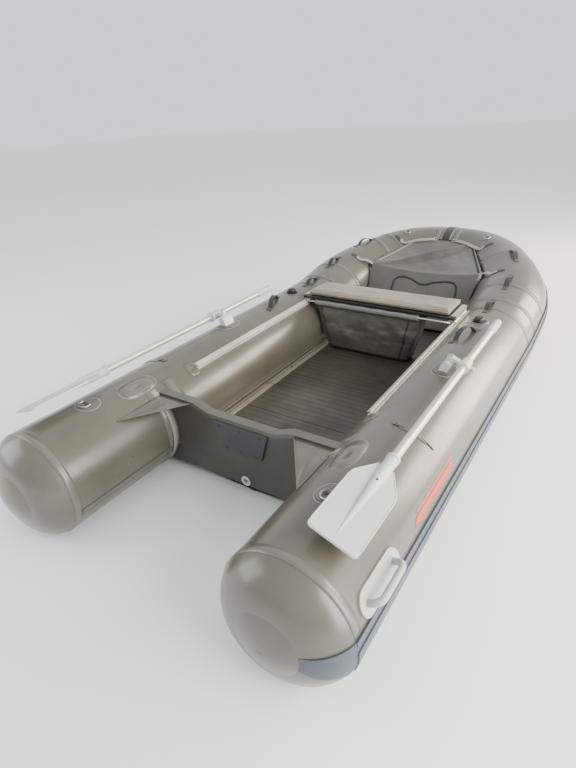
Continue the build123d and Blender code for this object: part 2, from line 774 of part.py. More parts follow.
def bow_board():
    """The tapering board ahead of the floor panels."""
    start = panel_start(PANEL_COUNT)
    half = PANEL_HALF_WIDTH - 30
    outline = [
        (-half, start),
        (half, start),
        (BOW_BOARD_FRONT_HALF, start + BOW_BOARD_LENGTH),
        (-BOW_BOARD_FRONT_HALF, start + BOW_BOARD_LENGTH),
    ]
    board = extrude(Pos(0, 0, FLOOR_BOTTOM + 0.2) * polygon_face(outline), amount=BOW_BOARD_THICKNESS)
    return fillet(board.edges().filter_by(Axis.Z), 25)


# ---------------------------------------------------------------- seat
def rail_sketch(shape):
    """Turn a section drawn with Y out of the tube's skin to the rail's angle."""
    return Rot(0, 0, RAIL_ANGLE - 90) * shape


def centred(low_x, high_x, low_y, high_y):
    """A rectangle between two corners."""
    return Pos((low_x + high_x) / 2, (low_y + high_y) / 2) * Rectangle(high_x - low_x, high_y - low_y)


def rail_section():
    """T rail on a foot that follows the tube."""
    base = TUBE_RADIUS + RAIL_BED
    top = TUBE_RADIUS + RAIL_BED + RAIL_HEIGHT
    foot = centred(-RAIL_FOOT_HALF, RAIL_FOOT_HALF, TUBE_RADIUS - 4, base + 3) - Circle(base)
    web = centred(-RAIL_WEB_HALF, RAIL_WEB_HALF, base + 2, top)
    flange = centred(-RAIL_FLANGE_HALF, RAIL_FLANGE_HALF, top - RAIL_FLANGE, top)
    return rail_sketch(foot + web + flange)


def seat_rail():
    """One rail."""
    return side_section(rail_section(), from_transom(RAIL_AFT), from_transom(RAIL_AFT + RAIL_LENGTH))


def rail_bed():
    """The fabric bed that the rail is glued on."""
    spread = math.degrees(RAIL_BED_HALF / TUBE_RADIUS)
    face = ring_sector(TUBE_RADIUS, TUBE_RADIUS + RAIL_BED, RAIL_ANGLE - spread, RAIL_ANGLE + spread)
    return side_section(face, from_transom(RAIL_AFT - 15), from_transom(RAIL_AFT + RAIL_LENGTH + 15))


def tilted_point(across, out):
    """X and Z, from the tube's axis, of a point in the rail's own directions."""
    turn = math.radians(RAIL_ANGLE)
    across_x, across_z = math.sin(turn), -math.cos(turn)
    return (across * across_x + out * math.cos(turn), across * across_z + out * math.sin(turn))


def seat_bracket():
    """Sliding shoe round the rail with a seat under the board and a channel on its end."""
    top = TUBE_RADIUS + RAIL_BED + RAIL_HEIGHT
    slack = 0.5
    outer_half = RAIL_FLANGE_HALF + slack + BRACKET_WALL
    crown = top + slack + BRACKET_WALL
    shoe = centred(-outer_half, outer_half, top - RAIL_FLANGE - slack - BRACKET_WALL, crown)
    slot = centred(-RAIL_FLANGE_HALF - slack, RAIL_FLANGE_HALF + slack, top - RAIL_FLANGE - slack, top + slack)
    neck = centred(-RAIL_WEB_HALF - slack, RAIL_WEB_HALF + slack, top - 40, top - RAIL_FLANGE)
    left, right = tilted_point(-outer_half, crown), tilted_point(outer_half, crown)
    board_low = SEAT_BOARD_LOW - TUBE_RADIUS
    end = SEAT_HALF_LENGTH - HALF
    wedge = polygon_face([left, right, (end, board_low - 4), (end, board_low), (left[0] - 6, board_low)])
    channel_low = board_low - END_CHANNEL
    channel_high = board_low + SEAT_BOARD + END_CHANNEL
    channel = centred(end - 22, end + END_CHANNEL, channel_low, channel_high)
    mouth = centred(end - 30, end, board_low, board_low + SEAT_BOARD)
    section = (rail_sketch(shoe - slot - neck) + wedge + channel) - mouth
    start = from_transom(SEAT_AFT) + (SEAT_DEPTH - BRACKET_LENGTH) / 2
    return side_section(section, start, start + BRACKET_LENGTH)


def seat_board():
    """The bench's board."""
    start = from_transom(SEAT_AFT)
    board = block(
        -SEAT_HALF_LENGTH,
        SEAT_HALF_LENGTH,
        start,
        start + SEAT_DEPTH,
        SEAT_BOARD_LOW,
        SEAT_BOARD_LOW + SEAT_BOARD,
    )
    return fillet(board.edges().filter_by(Axis.X), 4)


def seat_cushion():
    """Padded top of the bench, strapped to the board."""
    start = from_transom(SEAT_AFT) + CUSHION_INSET
    half = SEAT_HALF_LENGTH - 24
    low = SEAT_BOARD_LOW + SEAT_BOARD + GAP
    pad = block(-half, half, start, start + SEAT_DEPTH - 2 * CUSHION_INSET, low, low + CUSHION_THICKNESS)
    pad = fillet(pad.edges().filter_by(Axis.Z), 16)
    return fillet(pad.edges().group_by(Axis.Z)[-1], 9)


def bag_block(inset):
    """The under-seat bag's outer shape, pulled in by inset."""
    start = from_transom(SEAT_AFT) + 8
    top = SEAT_BOARD_LOW - GAP - inset
    low = FLOOR_TOP + JOINER_FLANGE_THICKNESS + BAG_FLOOR_GAP + inset
    outline = [
        (-310 + inset, low),
        (205 - inset, low),
        (275 - inset, top),
        (-385 + inset, top),
    ]
    body = upright(outline, start + inset, start + BAG_DEPTH - inset)
    return fillet(body.edges().filter_by(Axis.Y), 30 - inset)


# ---------------------------------------------------------------- oars
ROWLOCK_FRAME = tube_frame(ROWLOCK_FROM_TRANSOM, OAR_ANGLE, OAR_HEIGHT)
# X along the shaft towards the blade, Y outboard, Z out of the tube
OAR = Plane(ROWLOCK_FRAME.origin, x_dir=-ROWLOCK_FRAME.x_dir, z_dir=ROWLOCK_FRAME.z_dir)
SHAFT_LINE = Plane(OAR.origin, x_dir=OAR.z_dir, z_dir=OAR.x_dir)
TUBE_BAR = side_section(Circle(TUBE_RADIUS + ROWLOCK_PAD), SEAM_Y, BEND_Y - BEND_HALF)


def pin_plane():
    """The rowlock pin's axis, inboard of the shaft."""
    return plane_in(OAR, (0, -PIN_OFFSET, 0))


def oar_collar():
    """Sleeve on the shaft with an arm to the eye that turns on the rowlock pin."""
    bore = SHAFT_RADIUS + RUNNING
    ring = COLLAR_HALF + 8
    body = rod(SHAFT_LINE, COLLAR_RADIUS, -COLLAR_HALF, ring)
    body = body + rod(SHAFT_LINE, COLLAR_RING_RADIUS, COLLAR_HALF, ring)
    arm_half = EYE_RADIUS - 2
    arm = OAR * block(-arm_half, arm_half, -PIN_OFFSET, 0, EYE_LOW, EYE_HIGH)
    eye = rod(pin_plane(), EYE_RADIUS, EYE_LOW, EYE_HIGH)
    boss_plane = plane_in(OAR, (0, 0, 0), (0, 1, 0))
    boss = rod(boss_plane, 8, 0, COLLAR_RADIUS + 8)
    whole = body + arm + eye + boss
    whole = whole - rod(SHAFT_LINE, bore, -COLLAR_HALF - 5, ring + 5)
    whole = whole - rod(pin_plane(), PIN_RADIUS + RUNNING, EYE_LOW - 5, EYE_HIGH + 5)
    return whole - rod(boss_plane, 3 + RUNNING, SHAFT_RADIUS - 5, COLLAR_RADIUS + 20)


def collar_screw():
    """Wing screw that clamps the shaft."""
    plane = plane_in(OAR, (0, 0, 0), (0, 1, 0))
    face_at = COLLAR_RADIUS + 8 + GAP
    shank = rod(plane, 3, SHAFT_RADIUS + GAP, face_at + 3)
    hub = rod(plane, 7, face_at, face_at + 9)
    wings = plane * Pos(0, 0, face_at + 8) * Box(2 * KNOB_RADIUS, 5, 10)
    wings = fillet(wings.edges().filter_by(Axis(plane.origin, plane.y_dir)), 4)
    return shank + hub + wings


def oar_lower_shaft():
    """Aluminium tube from the joint to the blade."""
    inner = SHAFT_RADIUS - SHAFT_WALL
    tube = sleeve(SHAFT_LINE, SHAFT_RADIUS, inner, SHAFT_JOINT + 0.2, SHAFT_TO_BLADE)
    button = rod(button_plane(), BUTTON_RADIUS + RUNNING, 0, SHAFT_RADIUS + 5)
    return tube - button


def oar_upper_shaft():
    """Aluminium tube from the grip to the joint, with the spigot inside the lower tube."""
    inner = SHAFT_RADIUS - SHAFT_WALL
    grip_end = -GRIP_START - GRIP_LENGTH + 6
    tube = sleeve(SHAFT_LINE, SHAFT_RADIUS, inner, grip_end, SHAFT_JOINT)
    root = sleeve(SHAFT_LINE, inner, inner - SHAFT_WALL, SHAFT_JOINT - SPIGOT_LENGTH / 2, SHAFT_JOINT)
    spigot_end = SHAFT_JOINT + SPIGOT_LENGTH
    spigot = sleeve(SHAFT_LINE, inner - 0.1, inner - SHAFT_WALL, SHAFT_JOINT, spigot_end)
    button = rod(button_plane(), BUTTON_RADIUS + RUNNING, 0, SHAFT_RADIUS + 5)
    return tube + root + spigot - button


def button_plane():
    """The snap button's axis, square to the shaft."""
    return plane_in(OAR, (SHAFT_JOINT + SPIGOT_LENGTH / 2, 0, 0))


def oar_button():
    """Spring button that locks the two tubes."""
    inner = SHAFT_RADIUS - 2 * SHAFT_WALL
    stem = rod(button_plane(), BUTTON_RADIUS, inner - 5, SHAFT_RADIUS + 2.5)
    foot = rod(button_plane(), BUTTON_RADIUS + 2, inner - 5, inner - 3)
    return fillet(stem.edges().group_by(Axis(OAR.origin, OAR.z_dir))[-1], 1.2) + foot


def blade_outline():
    """Plan of the blade: neck, shoulders and a square tip with rounded corners."""
    points = [
        (BLADE_NECK, -SOCKET_RADIUS),
        (BLADE_SHOULDER, -BLADE_HALF_WIDTH),
        (BLADE_TIP, -BLADE_HALF_WIDTH),
        (BLADE_TIP, BLADE_HALF_WIDTH),
        (BLADE_SHOULDER, BLADE_HALF_WIDTH),
        (BLADE_NECK, SOCKET_RADIUS),
    ]
    face = polygon_face(points)
    shoulders = [corner for corner in face.vertices() if abs(corner.X - BLADE_SHOULDER) < 1]
    face = fillet(shoulders, 30)
    tips = [corner for corner in face.vertices() if abs(corner.X - BLADE_TIP) < 1]
    return fillet(tips, 14)


def oar_blade():
    """Moulded blade with a socket and a spine that dies into the plate."""
    plate = OAR * extrude(blade_outline(), amount=BLADE_THICKNESS / 2, both=True)
    socket = rod(SHAFT_LINE, SOCKET_RADIUS, SOCKET_START, SHAFT_TO_BLADE)
    lip = rod(SHAFT_LINE, SOCKET_RADIUS + 2.5, SOCKET_START, SOCKET_START + 9)
    spine_length = SPINE_TIP - SHAFT_TO_BLADE
    spine = SHAFT_LINE * Pos(0, 0, SHAFT_TO_BLADE + spine_length / 2) * Cone(SOCKET_RADIUS, 3.6, spine_length)
    whole = plate + socket + lip + spine
    return whole - rod(SHAFT_LINE, SHAFT_RADIUS, SOCKET_START - 5, SHAFT_TO_BLADE)


def oar_grip():
    """Ribbed plastic hand grip with a closed end."""
    start, end = -GRIP_START - GRIP_LENGTH, -GRIP_START
    grip = rod(SHAFT_LINE, GRIP_RADIUS, start, end)
    grip = fillet(grip.edges().group_by(Axis.Y)[-1], 5)
    for step in range(5):
        place = start + 24 + step * 19
        grip = grip + rod(SHAFT_LINE, GRIP_RADIUS + 1.2, place, place + 9)
    return grip - rod(SHAFT_LINE, SHAFT_RADIUS, start + 6, end + 5)


def rowlock_frame():
    """The tube's tangent plane under the rowlock pin."""
    turn = math.degrees(math.asin(PIN_OFFSET / TUBE_RADIUS))
    return tube_frame(ROWLOCK_FROM_TRANSOM, OAR_ANGLE + turn)


def rowlock_pad():
    """Oval rubber base and the raised middle welded on it."""
    run = [STARBOARD_ROUTE[0]]
    frame = rowlock_frame()
    base = skin_patch(frame, SlotOverall(ROWLOCK_PAD_LENGTH, ROWLOCK_PAD_WIDTH), ROWLOCK_PAD, run)
    middle = SlotOverall(ROWLOCK_PAD_LENGTH - 2 * ROWLOCK_RIM, ROWLOCK_PAD_WIDTH - 2 * ROWLOCK_RIM)
    return [base, skin_patch(frame, middle, ROWLOCK_RING, run, ROWLOCK_PAD)]


def rowlock_body():
    """Moulded block: a saddle on the pad, a barrel lying fore and aft, and the pin's boss."""
    low = -OAR_HEIGHT - 30
    saddle = OAR * block(-34, 34, -PIN_OFFSET - 17, -PIN_OFFSET + 17, low, -30)
    barrel_line = Plane(
        OAR.from_local_coords(Vector(0, -PIN_OFFSET, -28)), x_dir=OAR.z_dir, z_dir=OAR.x_dir
    )
    barrel = rod(barrel_line, 16, -34, 34)
    barrel = fillet(barrel.edges(), 3)
    boss = rod(pin_plane(), 12, -30, EYE_LOW - GAP)
    body = cut_by(saddle + barrel + boss, [TUBE_BAR] + rowlock_pad())
    return body - rod(pin_plane(), PIN_RADIUS, -42, EYE_HIGH)


def rowlock_pin():
    """Steel pin with a domed head over the collar's eye."""
    shank = rod(pin_plane(), PIN_RADIUS, -42, EYE_HIGH + GAP)
    head = rod(pin_plane(), 11, EYE_HIGH + GAP, EYE_HIGH + GAP + 6)
    return shank + fillet(head.edges().group_by(Axis(OAR.origin, OAR.z_dir))[-1], 2.5)


# ---------------------------------------------------------------- fittings on the tubes
def oar_clip():
    """Open oar keeper: a base patch with a tongue outboard and a tab inboard."""
    start = from_transom(CLIP_FROM_TRANSOM - CLIP_WIDTH / 2)
    end = start + CLIP_WIDTH
    base = side_section(ring_sector(TUBE_RADIUS, TUBE_RADIUS + CLIP_THICKNESS, 56, 84), start, end)
    tongue_sector = ring_sector(TUBE_RADIUS + CLIP_THICKNESS, TUBE_RADIUS + 2 * CLIP_THICKNESS, 47, 60)
    tongue = side_section(tongue_sector, start + 8, end - 8)
    tab_sector = ring_sector(TUBE_RADIUS + CLIP_THICKNESS, TUBE_RADIUS + 2 * CLIP_THICKNESS, 80, 92)
    tab = side_section(tab_sector, start + 10, end - 10)
    stud_frame = tube_frame(CLIP_FROM_TRANSOM, 88)
    stud = rod(stud_frame, 6, 2 * CLIP_THICKNESS - 0.05, 2 * CLIP_THICKNESS + 3)
    return base + tongue + tab + stud


def carry_handle():
    """Moulded lifting handle: an oval base and a raised bar."""
    frame = tube_frame(HANDLE_FROM_TRANSOM, HANDLE_ANGLE)
    outline = SlotOverall(HANDLE_LENGTH, HANDLE_WIDTH)
    base = skin_patch(frame, outline, HANDLE_BASE, [STARBOARD_ROUTE[0]])
    points = [
        Vector(-HANDLE_BAR_HALF, 0, -1),
        Vector(-HANDLE_BAR_HALF, 0, HANDLE_RISE),
        Vector(HANDLE_BAR_HALF, 0, HANDLE_RISE),
        Vector(HANDLE_BAR_HALF, 0, -1),
    ]
    bar = None
    for edge in rounded_path(points, [26, 26]):
        start = Plane(edge @ 0, z_dir=edge % 0)
        run = sweep(start * Circle(HANDLE_BAR_RADIUS), path=edge)
        bar = run if bar is None else bar + run
    tube = side_section(Circle(TUBE_RADIUS), SEAM_Y, BEND_Y - BEND_HALF)
    return base + frame * bar - tube


def dring_frames():
    """Tangent planes of the stern and bow D-rings on the starboard side."""
    stern = tube_frame(DRING_FROM_TRANSOM, DRING_ANGLE)
    return stern, tube_frame(BOW_DRING_FROM_TRANSOM, BOW_DRING_ANGLE)


def dring_bar(frame):
    """The D-ring's hinge axis, across the tube."""
    return plane_in(frame, (0, 0, DRING_PATCH + DRING_AXIS), (0, 1, 0))


def dring_patch(frame, edges):
    """Round patch with the loop that holds the ring's straight side."""
    patch = skin_patch(frame, Circle(DRING_PATCH_RADIUS), DRING_PATCH, edges)
    half = DRING_HALF_WIDTH - 5
    loop = frame * block(-8, 8, -half, half, -8, DRING_PATCH + DRING_AXIS)
    roll = rod(dring_bar(frame), DRING_WIRE + 2.4, -half, half)
    hole = rod(dring_bar(frame), DRING_WIRE + RUNNING, -half - 5, half + 5)
    tubes = full_tubes(TUBE_RADIUS, edges)
    return cut_by(patch + loop + roll, [hole] + tubes)


def dring(frame):
    """The steel ring: a straight side with a bow lying aft along the tube."""
    local = []
    height = DRING_PATCH + DRING_AXIS
    half, reach = DRING_HALF_WIDTH, DRING_REACH
    bar = Line((0, -half, height), (0, half, height))
    bow = ThreePointArc((0, half, height), (-reach, 0, height), (0, -half, height))
    for edge in (bar, bow):
        start = Plane(edge @ 0, z_dir=edge % 0)
        local.append(sweep(start * Circle(DRING_WIRE), path=edge))
    joints = [Pos(0, side * half, height) * Sphere(DRING_WIRE) for side in (-1, 1)]
    whole = local[0] + local[1]
    for joint in joints:
        whole = whole + joint
    return frame * whole


def grab_loop(distance, angle, clear, rise, turn):
    """Webbing sewn down at both ends and arched between them."""
    half = clear / 2
    deep = 12
    outer = ThreePointArc((-half, -deep), (0, rise), (half, -deep))
    inner = ThreePointArc((half - LOOP_THICKNESS, -deep), (0, rise - LOOP_THICKNESS), (LOOP_THICKNESS - half, -deep))
    face = make_face([outer, Line(outer @ 1, inner @ 0), inner, Line(inner @ 1, outer @ 0)])
    turned = tube_frame(distance, angle) * Rot(0, 0, turn)
    section = Plane((0, 0, 0), x_dir=(1, 0, 0), z_dir=(0, -1, 0))
    arch = turned * extrude(section * face, amount=LOOP_WIDTH / 2, both=True)
    edges = runs_near(distance, half + LOOP_FOOT)
    whole = cut_by(arch, full_tubes(TUBE_RADIUS, edges))
    for side in (-1, 1):
        foot = Pos(side * (half + LOOP_FOOT / 2 - LOOP_THICKNESS), 0) * Rectangle(LOOP_FOOT, LOOP_WIDTH)
        whole = whole + skin_patch(turned, foot, LOOP_THICKNESS, edges)
    return whole


def bow_handle():
    """Webbing band over the middle of the bow."""
    inner, outer = TUBE_RADIUS, TUBE_RADIUS + 2 * LOOP_THICKNESS
    face = ring_sector(inner, outer, *BOW_HANDLE_ANGLES)
    section = section_at(FRONT_RUN, 0.5)
    return extrude(section * face, amount=BOW_HANDLE_WIDTH / 2, both=True)


def valve_body(frame, edge):
    """Valve housing: a flange on the skin, a neck through it and a spigot for the cap."""
    flange = rod(frame, VALVE_FLANGE_RADIUS, -VALVE_FLANGE, VALVE_FLANGE) - swept(edge, Circle(TUBE_RADIUS))
    neck = sleeve(frame, VALVE_NECK_RADIUS, VALVE_NECK_RADIUS - 4, -VALVE_NECK, VALVE_FLANGE)
    spigot = rod(frame, VALVE_SPIGOT_RADIUS, 0, VALVE_FLANGE + 6)
    return flange + neck + spigot


def valve_cap(frame):
    """Domed screw cap."""
    low = VALVE_FLANGE + GAP
    dome = rod(frame, VALVE_CAP_RADIUS, low, low + VALVE_CAP_HEIGHT)
    dome = fillet(dome.edges().group_by(Axis(frame.origin, frame.z_dir))[-1], 9)
    return dome - rod(frame, VALVE_SPIGOT_RADIUS + RUNNING, low - 5, VALVE_FLANGE + 6 + GAP)


# ---------------------------------------------------------------- bow bag
def bow_bag_points(inset):
    """Corners of the bag's top and rear faces, moved in by inset."""
    front = from_transom(BOW_BAG_FRONT_Y) - inset
    rear = from_transom(BOW_BAG_REAR_Y) + inset
    foot = from_transom(BOW_BAG_FOOT_Y) + inset
    return [
        (BOW_BAG_FRONT_HALF, front, BOW_BAG_FRONT_Z - inset),
        (BOW_BAG_REAR_HALF, rear, BOW_BAG_REAR_Z - inset),
        (BOW_BAG_FOOT_HALF, foot, BOW_BAG_FOOT_Z),
    ]


def sheet_between(first, second, thickness):
    """A flat sheet from one level edge to another, thickened downwards."""
    (half_a, y_a, z_a), (half_b, y_b, z_b) = first, second
    corners = [(half_a, y_a, z_a), (-half_a, y_a, z_a), (-half_b, y_b, z_b), (half_b, y_b, z_b)]
    face = Face(Wire([Line(corners[i], corners[(i + 1) % 4]) for i in range(4)]))
    normal = face.normal_at()
    direction = normal if normal.Z < 0 else normal * -1
    return extrude(face, amount=thickness, dir=direction)


def bow_bag(tubes):
    """The stretched top and the sloping rear face of the bow bag."""
    front, rear, foot = bow_bag_points(0)
    tent = sheet_between(front, rear, BOW_BAG_SKIN) + sheet_between(rear, foot, BOW_BAG_SKIN)
    pieces = cut_by(tent, tubes).solids()
    return max(pieces, key=lambda solid: solid.volume)


def bag_strap(distance, angle):
    """A strap sewn over the tube's skin beside the bag's corner."""
    outline = Rectangle(BAG_STRAP_WIDTH, BAG_STRAP_LENGTH)
    return skin_patch(tube_frame(distance, angle), outline, BAG_STRAP_THICKNESS, runs_near(distance, 60))


# ---------------------------------------------------------------- write the pieces
def all_parts():
    """Every node with its solids."""
    bars = side_tube_bars()
    holes = screw_holes()
    housing, nut, plug = drain_parts()
    starboard_valve, port_valve, bow_valve = valve_frames()
    stern_ring, bow_ring = dring_frames()
    starboard_runs = chamber_runs(STARBOARD_ROUTE)
    bow_runs = chamber_runs(BOW_ROUTE)
    clear_tubes = full_tubes(TUBE_RADIUS + GAP, ROUTE)
    starboard_runs = with_valve_hole(starboard_runs, starboard_valve)
    bow_cut = [STARBOARD_ROUTE[-1]] + BOW_ROUTE[:5]
    parts = {
        "starboard_tube": starboard_runs,
        "port_tube": [other_side(run) for run in starboard_runs],
        "bow_tube": with_valve_hole(bow_runs, bow_valve),
        "chamber_baffles": both_sides(chamber_baffle()),
        "stern_cones": both_sides(stern_cone()),
        "end_caps": both_sides(end_cap()),
        "rub_strakes": both_sides(rub_strake()),
        "transom_board": [transom_board(bars, holes)],
        "transom_trim": [transom_trim(bars)],
        "transom_gussets": both_sides(transom_gusset(bars)),
        "motor_pad_outer": [motor_pad_outer(holes)],
        "motor_pad_inner": [motor_pad_inner(holes)],
        "motor_pad_screws": motor_pad_screws(),
        "drain_housing": [housing],
        "drain_nut": [nut],
        "drain_plug": [plug],
        "bottom_fabric": [bottom_fabric()],
        "keel_strip": [keel_strip()],
        "keel_tube": [keel_tube()],
        "floor_panels": [floor_panel(index) for index in range(PANEL_COUNT)],
        "floor_joiners": [floor_joiner(index) for index in range(1, PANEL_COUNT + 1)],
        "side_stringers": side_stringers(),
        "bow_board": [bow_board()],
        "seat_rails": both_sides(seat_rail()),
        "rail_beds": both_sides(rail_bed()),
        "seat_brackets": both_sides(seat_bracket()),
        "seat_board": [seat_board()],
        "seat_cushion": [seat_cushion()],
        "under_seat_bag": [bag_block(0) - bag_block(BAG_SKIN)],
        "bow_bag": [bow_bag(clear_tubes)],
        "rowlock_pads": [half for layer in rowlock_pad() for half in both_sides(layer)],
        "rowlock_bodies": both_sides(rowlock_body()),
        "rowlock_pins": both_sides(rowlock_pin()),
        "oar_clips": both_sides(oar_clip()),
        "carry_handles": both_sides(carry_handle()),
        "dring_patches": both_sides(dring_patch(stern_ring, STARBOARD_ROUTE[:1]))
        + both_sides(dring_patch(bow_ring, bow_cut)),
        "grab_loops": [piece for loop in LOOPS for piece in both_sides(grab_loop(*loop))] + [bow_handle()],
        "valve_bodies": both_sides(valve_body(starboard_valve, STARBOARD_ROUTE[0]))
        + [valve_body(bow_valve, FRONT_RUN)],
        "starboard_valve_cap": [valve_cap(starboard_valve)],
        "port_valve_cap": [valve_cap(port_valve)],
        "bow_valve_cap": [valve_cap(bow_valve)],
    }
    oar_pieces = {
        "oar_collar": oar_collar(),
        "collar_screw": collar_screw(),
        "oar_lower_shaft": oar_lower_shaft(),
        "oar_upper_shaft": oar_upper_shaft(),
        "oar_button": oar_button(),
        "oar_blade": oar_blade(),
        "oar_grip": oar_grip(),
        "stern_dring": dring(stern_ring),
        "bow_dring": dring(bow_ring),
    }
    for name, shape in oar_pieces.items():
        parts["starboard_" + name] = [shape]
        parts["port_" + name] = [other_side(shape)]
    straps = [bag_strap(*BAG_STRAP_FRONT), bag_strap(*BAG_STRAP_REAR)]
    parts["bow_bag_straps"] = [piece for strap in straps for piece in both_sides(strap)]
    return parts


os.makedirs("parts", exist_ok=True)
for node, shapes in all_parts().items():
    solids = [solid for shape in shapes for solid in shape.solids()]
    export_step(Compound(children=solids), f"parts/{node}.step")
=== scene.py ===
"""Looks for an inflatable dinghy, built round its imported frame: finishes, seams, soft goods and light."""

import logging
import math
from dataclasses import dataclass, field
from enum import Enum
from typing import Callable, Optional

import bpy
from mathutils import Matrix, Vector, noise


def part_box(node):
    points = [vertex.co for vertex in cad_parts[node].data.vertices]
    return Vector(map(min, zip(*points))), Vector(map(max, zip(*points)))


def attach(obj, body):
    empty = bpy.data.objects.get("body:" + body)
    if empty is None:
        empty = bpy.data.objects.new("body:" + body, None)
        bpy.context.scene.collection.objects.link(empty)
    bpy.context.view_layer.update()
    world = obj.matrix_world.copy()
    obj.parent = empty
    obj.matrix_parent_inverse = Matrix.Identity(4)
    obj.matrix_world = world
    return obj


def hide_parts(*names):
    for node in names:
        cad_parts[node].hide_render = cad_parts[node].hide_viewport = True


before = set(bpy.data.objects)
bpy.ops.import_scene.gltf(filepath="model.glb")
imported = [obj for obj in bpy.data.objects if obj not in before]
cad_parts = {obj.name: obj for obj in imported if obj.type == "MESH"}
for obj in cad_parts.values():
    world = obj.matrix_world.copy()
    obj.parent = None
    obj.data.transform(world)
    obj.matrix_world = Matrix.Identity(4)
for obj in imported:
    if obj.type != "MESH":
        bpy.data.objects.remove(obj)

LOG = logging.getLogger("dinghy")
Grid = list[list[Vector]]
SIDES = (1, -1)  # starboard, port


# ---------------------------------------------------------------- finishes
class Texture(Enum):
    """How a finish is broken up close to."""

    COATED = "coated"
    WOVEN = "woven"
    WEBBING = "webbing"
    GRAINED = "grained"
    BRUSHED = "brushed"
    TIMBER = "timber"


def linear(red: int, green: int, blue: int) -> tuple[float, float, float, float]:
    """Turns a colour, 0 to 255, into scene values.

    Args:
        red: Red part.
        green: Green part.
        blue: Blue part.

    Returns:
        Linear red, green and blue, with alpha 1.
    """
    parts = []
    for part in (red, green, blue):
        share = part / 255
        parts.append(share / 12.92 if share <= 0.04045 else ((share + 0.055) / 1.055) ** 2.4)
    return (parts[0], parts[1], parts[2], 1.0)


@dataclass(frozen=True)
class Finish:
    """One finish: its colours, gloss and fine surface."""

    name: str
    colour: tuple[int, int, int]
    shade: tuple[int, int, int]
    roughness: float
    texture: Texture
    metallic: float = 0.0
    coat: float = 0.0
    sheen: float = 0.0
    bump: float = 0.25
    patch_size: float = 3.0

    def build(self) -> bpy.types.Material:
        """Makes the finish's material, or gives the one made before."""
        ready = bpy.data.materials.get(self.name)
        if ready:
            return ready
        material = bpy.data.materials.new(self.name)
        material.use_nodes = True
        tree = material.node_tree
        shader = tree.nodes["Principled BSDF"]
        shader.inputs["Metallic"].default_value = self.metallic
        shader.inputs["Coat Weight"].default_value = self.coat
        shader.inputs["Coat Roughness"].default_value = 0.18
        shader.inputs["Sheen Weight"].default_value = self.sheen
        place = tree.nodes.new("ShaderNodeTexCoord")
        wear = tree.nodes.new("ShaderNodeGroup")
        wear.node_tree = mottle_group()
        wear.inputs["Scale"].default_value = self.patch_size
        tree.links.new(place.outputs["Object"], wear.inputs["Place"])
        blend = tree.nodes.new("ShaderNodeMix")
        blend.data_type = "RGBA"
        blend.inputs["A"].default_value = linear(*self.colour)
        blend.inputs["B"].default_value = linear(*self.shade)
        tree.links.new(wear.outputs["Mask"], blend.inputs["Factor"])
        tree.links.new(blend.outputs["Result"], shader.inputs["Base Color"])
        gloss = tree.nodes.new("ShaderNodeMapRange")
        gloss.inputs["To Min"].default_value = self.roughness
        gloss.inputs["To Max"].default_value = min(1.0, self.roughness + 0.14)
        tree.links.new(wear.outputs["Mask"], gloss.inputs["Value"])
        tree.links.new(gloss.outputs["Result"], shader.inputs["Roughness"])
        fine = tree.nodes.new("ShaderNodeGroup")
        fine.node_tree = TEXTURE_GROUPS[self.texture]()
        tree.links.new(place.outputs["Object"], fine.inputs["Place"])
        bump = tree.nodes.new("ShaderNodeBump")
        bump.inputs["Strength"].default_value = self.bump
        bump.inputs["Distance"].default_value = 0.0006
        tree.links.new(fine.outputs["Height"], bump.inputs["Height"])
        tree.links.new(bump.outputs["Normal"], shader.inputs["Normal"])
        return material


def new_group(name: str, output: str) -> tuple[bpy.types.NodeTree, bpy.types.Node, bpy.types.Node]:
    """Starts a node group that turns a place into one value.

    Args:
        name: The group's name.
        output: The name of its output.

    Returns:
        The group's tree, its input node and its output node.
    """
    tree = bpy.data.node_groups.new(name, "ShaderNodeTree")
    tree.interface.new_socket("Place", in_out="INPUT", socket_type="NodeSocketVector")
    tree.interface.new_socket(output, in_out="OUTPUT", socket_type="NodeSocketFloat")
    return tree, tree.nodes.new("NodeGroupInput"), tree.nodes.new("NodeGroupOutput")


def mottle_group() -> bpy.types.NodeTree:
    """Broad, soft patches of handling and dust."""
    ready = bpy.data.node_groups.get("mottle")
    if ready:
        return ready
    tree, start, end = new_group("mottle", "Mask")
    scale = tree.interface.new_socket("Scale", in_out="INPUT", socket_type="NodeSocketFloat")
    scale.default_value = 3.0
    broad = tree.nodes.new("ShaderNodeTexNoise")
    broad.inputs["Detail"].default_value = 6.0
    broad.inputs["Roughness"].default_value = 0.62
    tree.links.new(start.outputs["Place"], broad.inputs["Vector"])
    tree.links.new(start.outputs["Scale"], broad.inputs["Scale"])
    spread = tree.nodes.new("ShaderNodeMapRange")
    spread.inputs["From Min"].default_value = 0.32
    spread.inputs["From Max"].default_value = 0.72
    tree.links.new(broad.outputs["Fac"], spread.inputs["Value"])
    tree.links.new(spread.outputs["Result"], end.inputs["Mask"])
    return tree


def noise_group(name: str, scale: float, stretch: tuple[float, float, float]) -> bpy.types.NodeTree:
    """A fine random height.

    Args:
        name: The group's name.
        scale: How fine it is, per metre.
        stretch: How much finer along X, Y and Z.

    Returns:
        The node group.
    """
    ready = bpy.data.node_groups.get(name)
    if ready:
        return ready
    tree, start, end = new_group(name, "Height")
    squeeze = tree.nodes.new("ShaderNodeVectorMath")
    squeeze.operation = "MULTIPLY"
    squeeze.inputs[1].default_value = stretch
    speckle = tree.nodes.new("ShaderNodeTexNoise")
    speckle.inputs["Scale"].default_value = scale
    speckle.inputs["Detail"].default_value = 4.0
    tree.links.new(start.outputs["Place"], squeeze.inputs[0])
    tree.links.new(squeeze.outputs["Vector"], speckle.inputs["Vector"])
    tree.links.new(speckle.outputs["Fac"], end.inputs["Height"])
    return tree


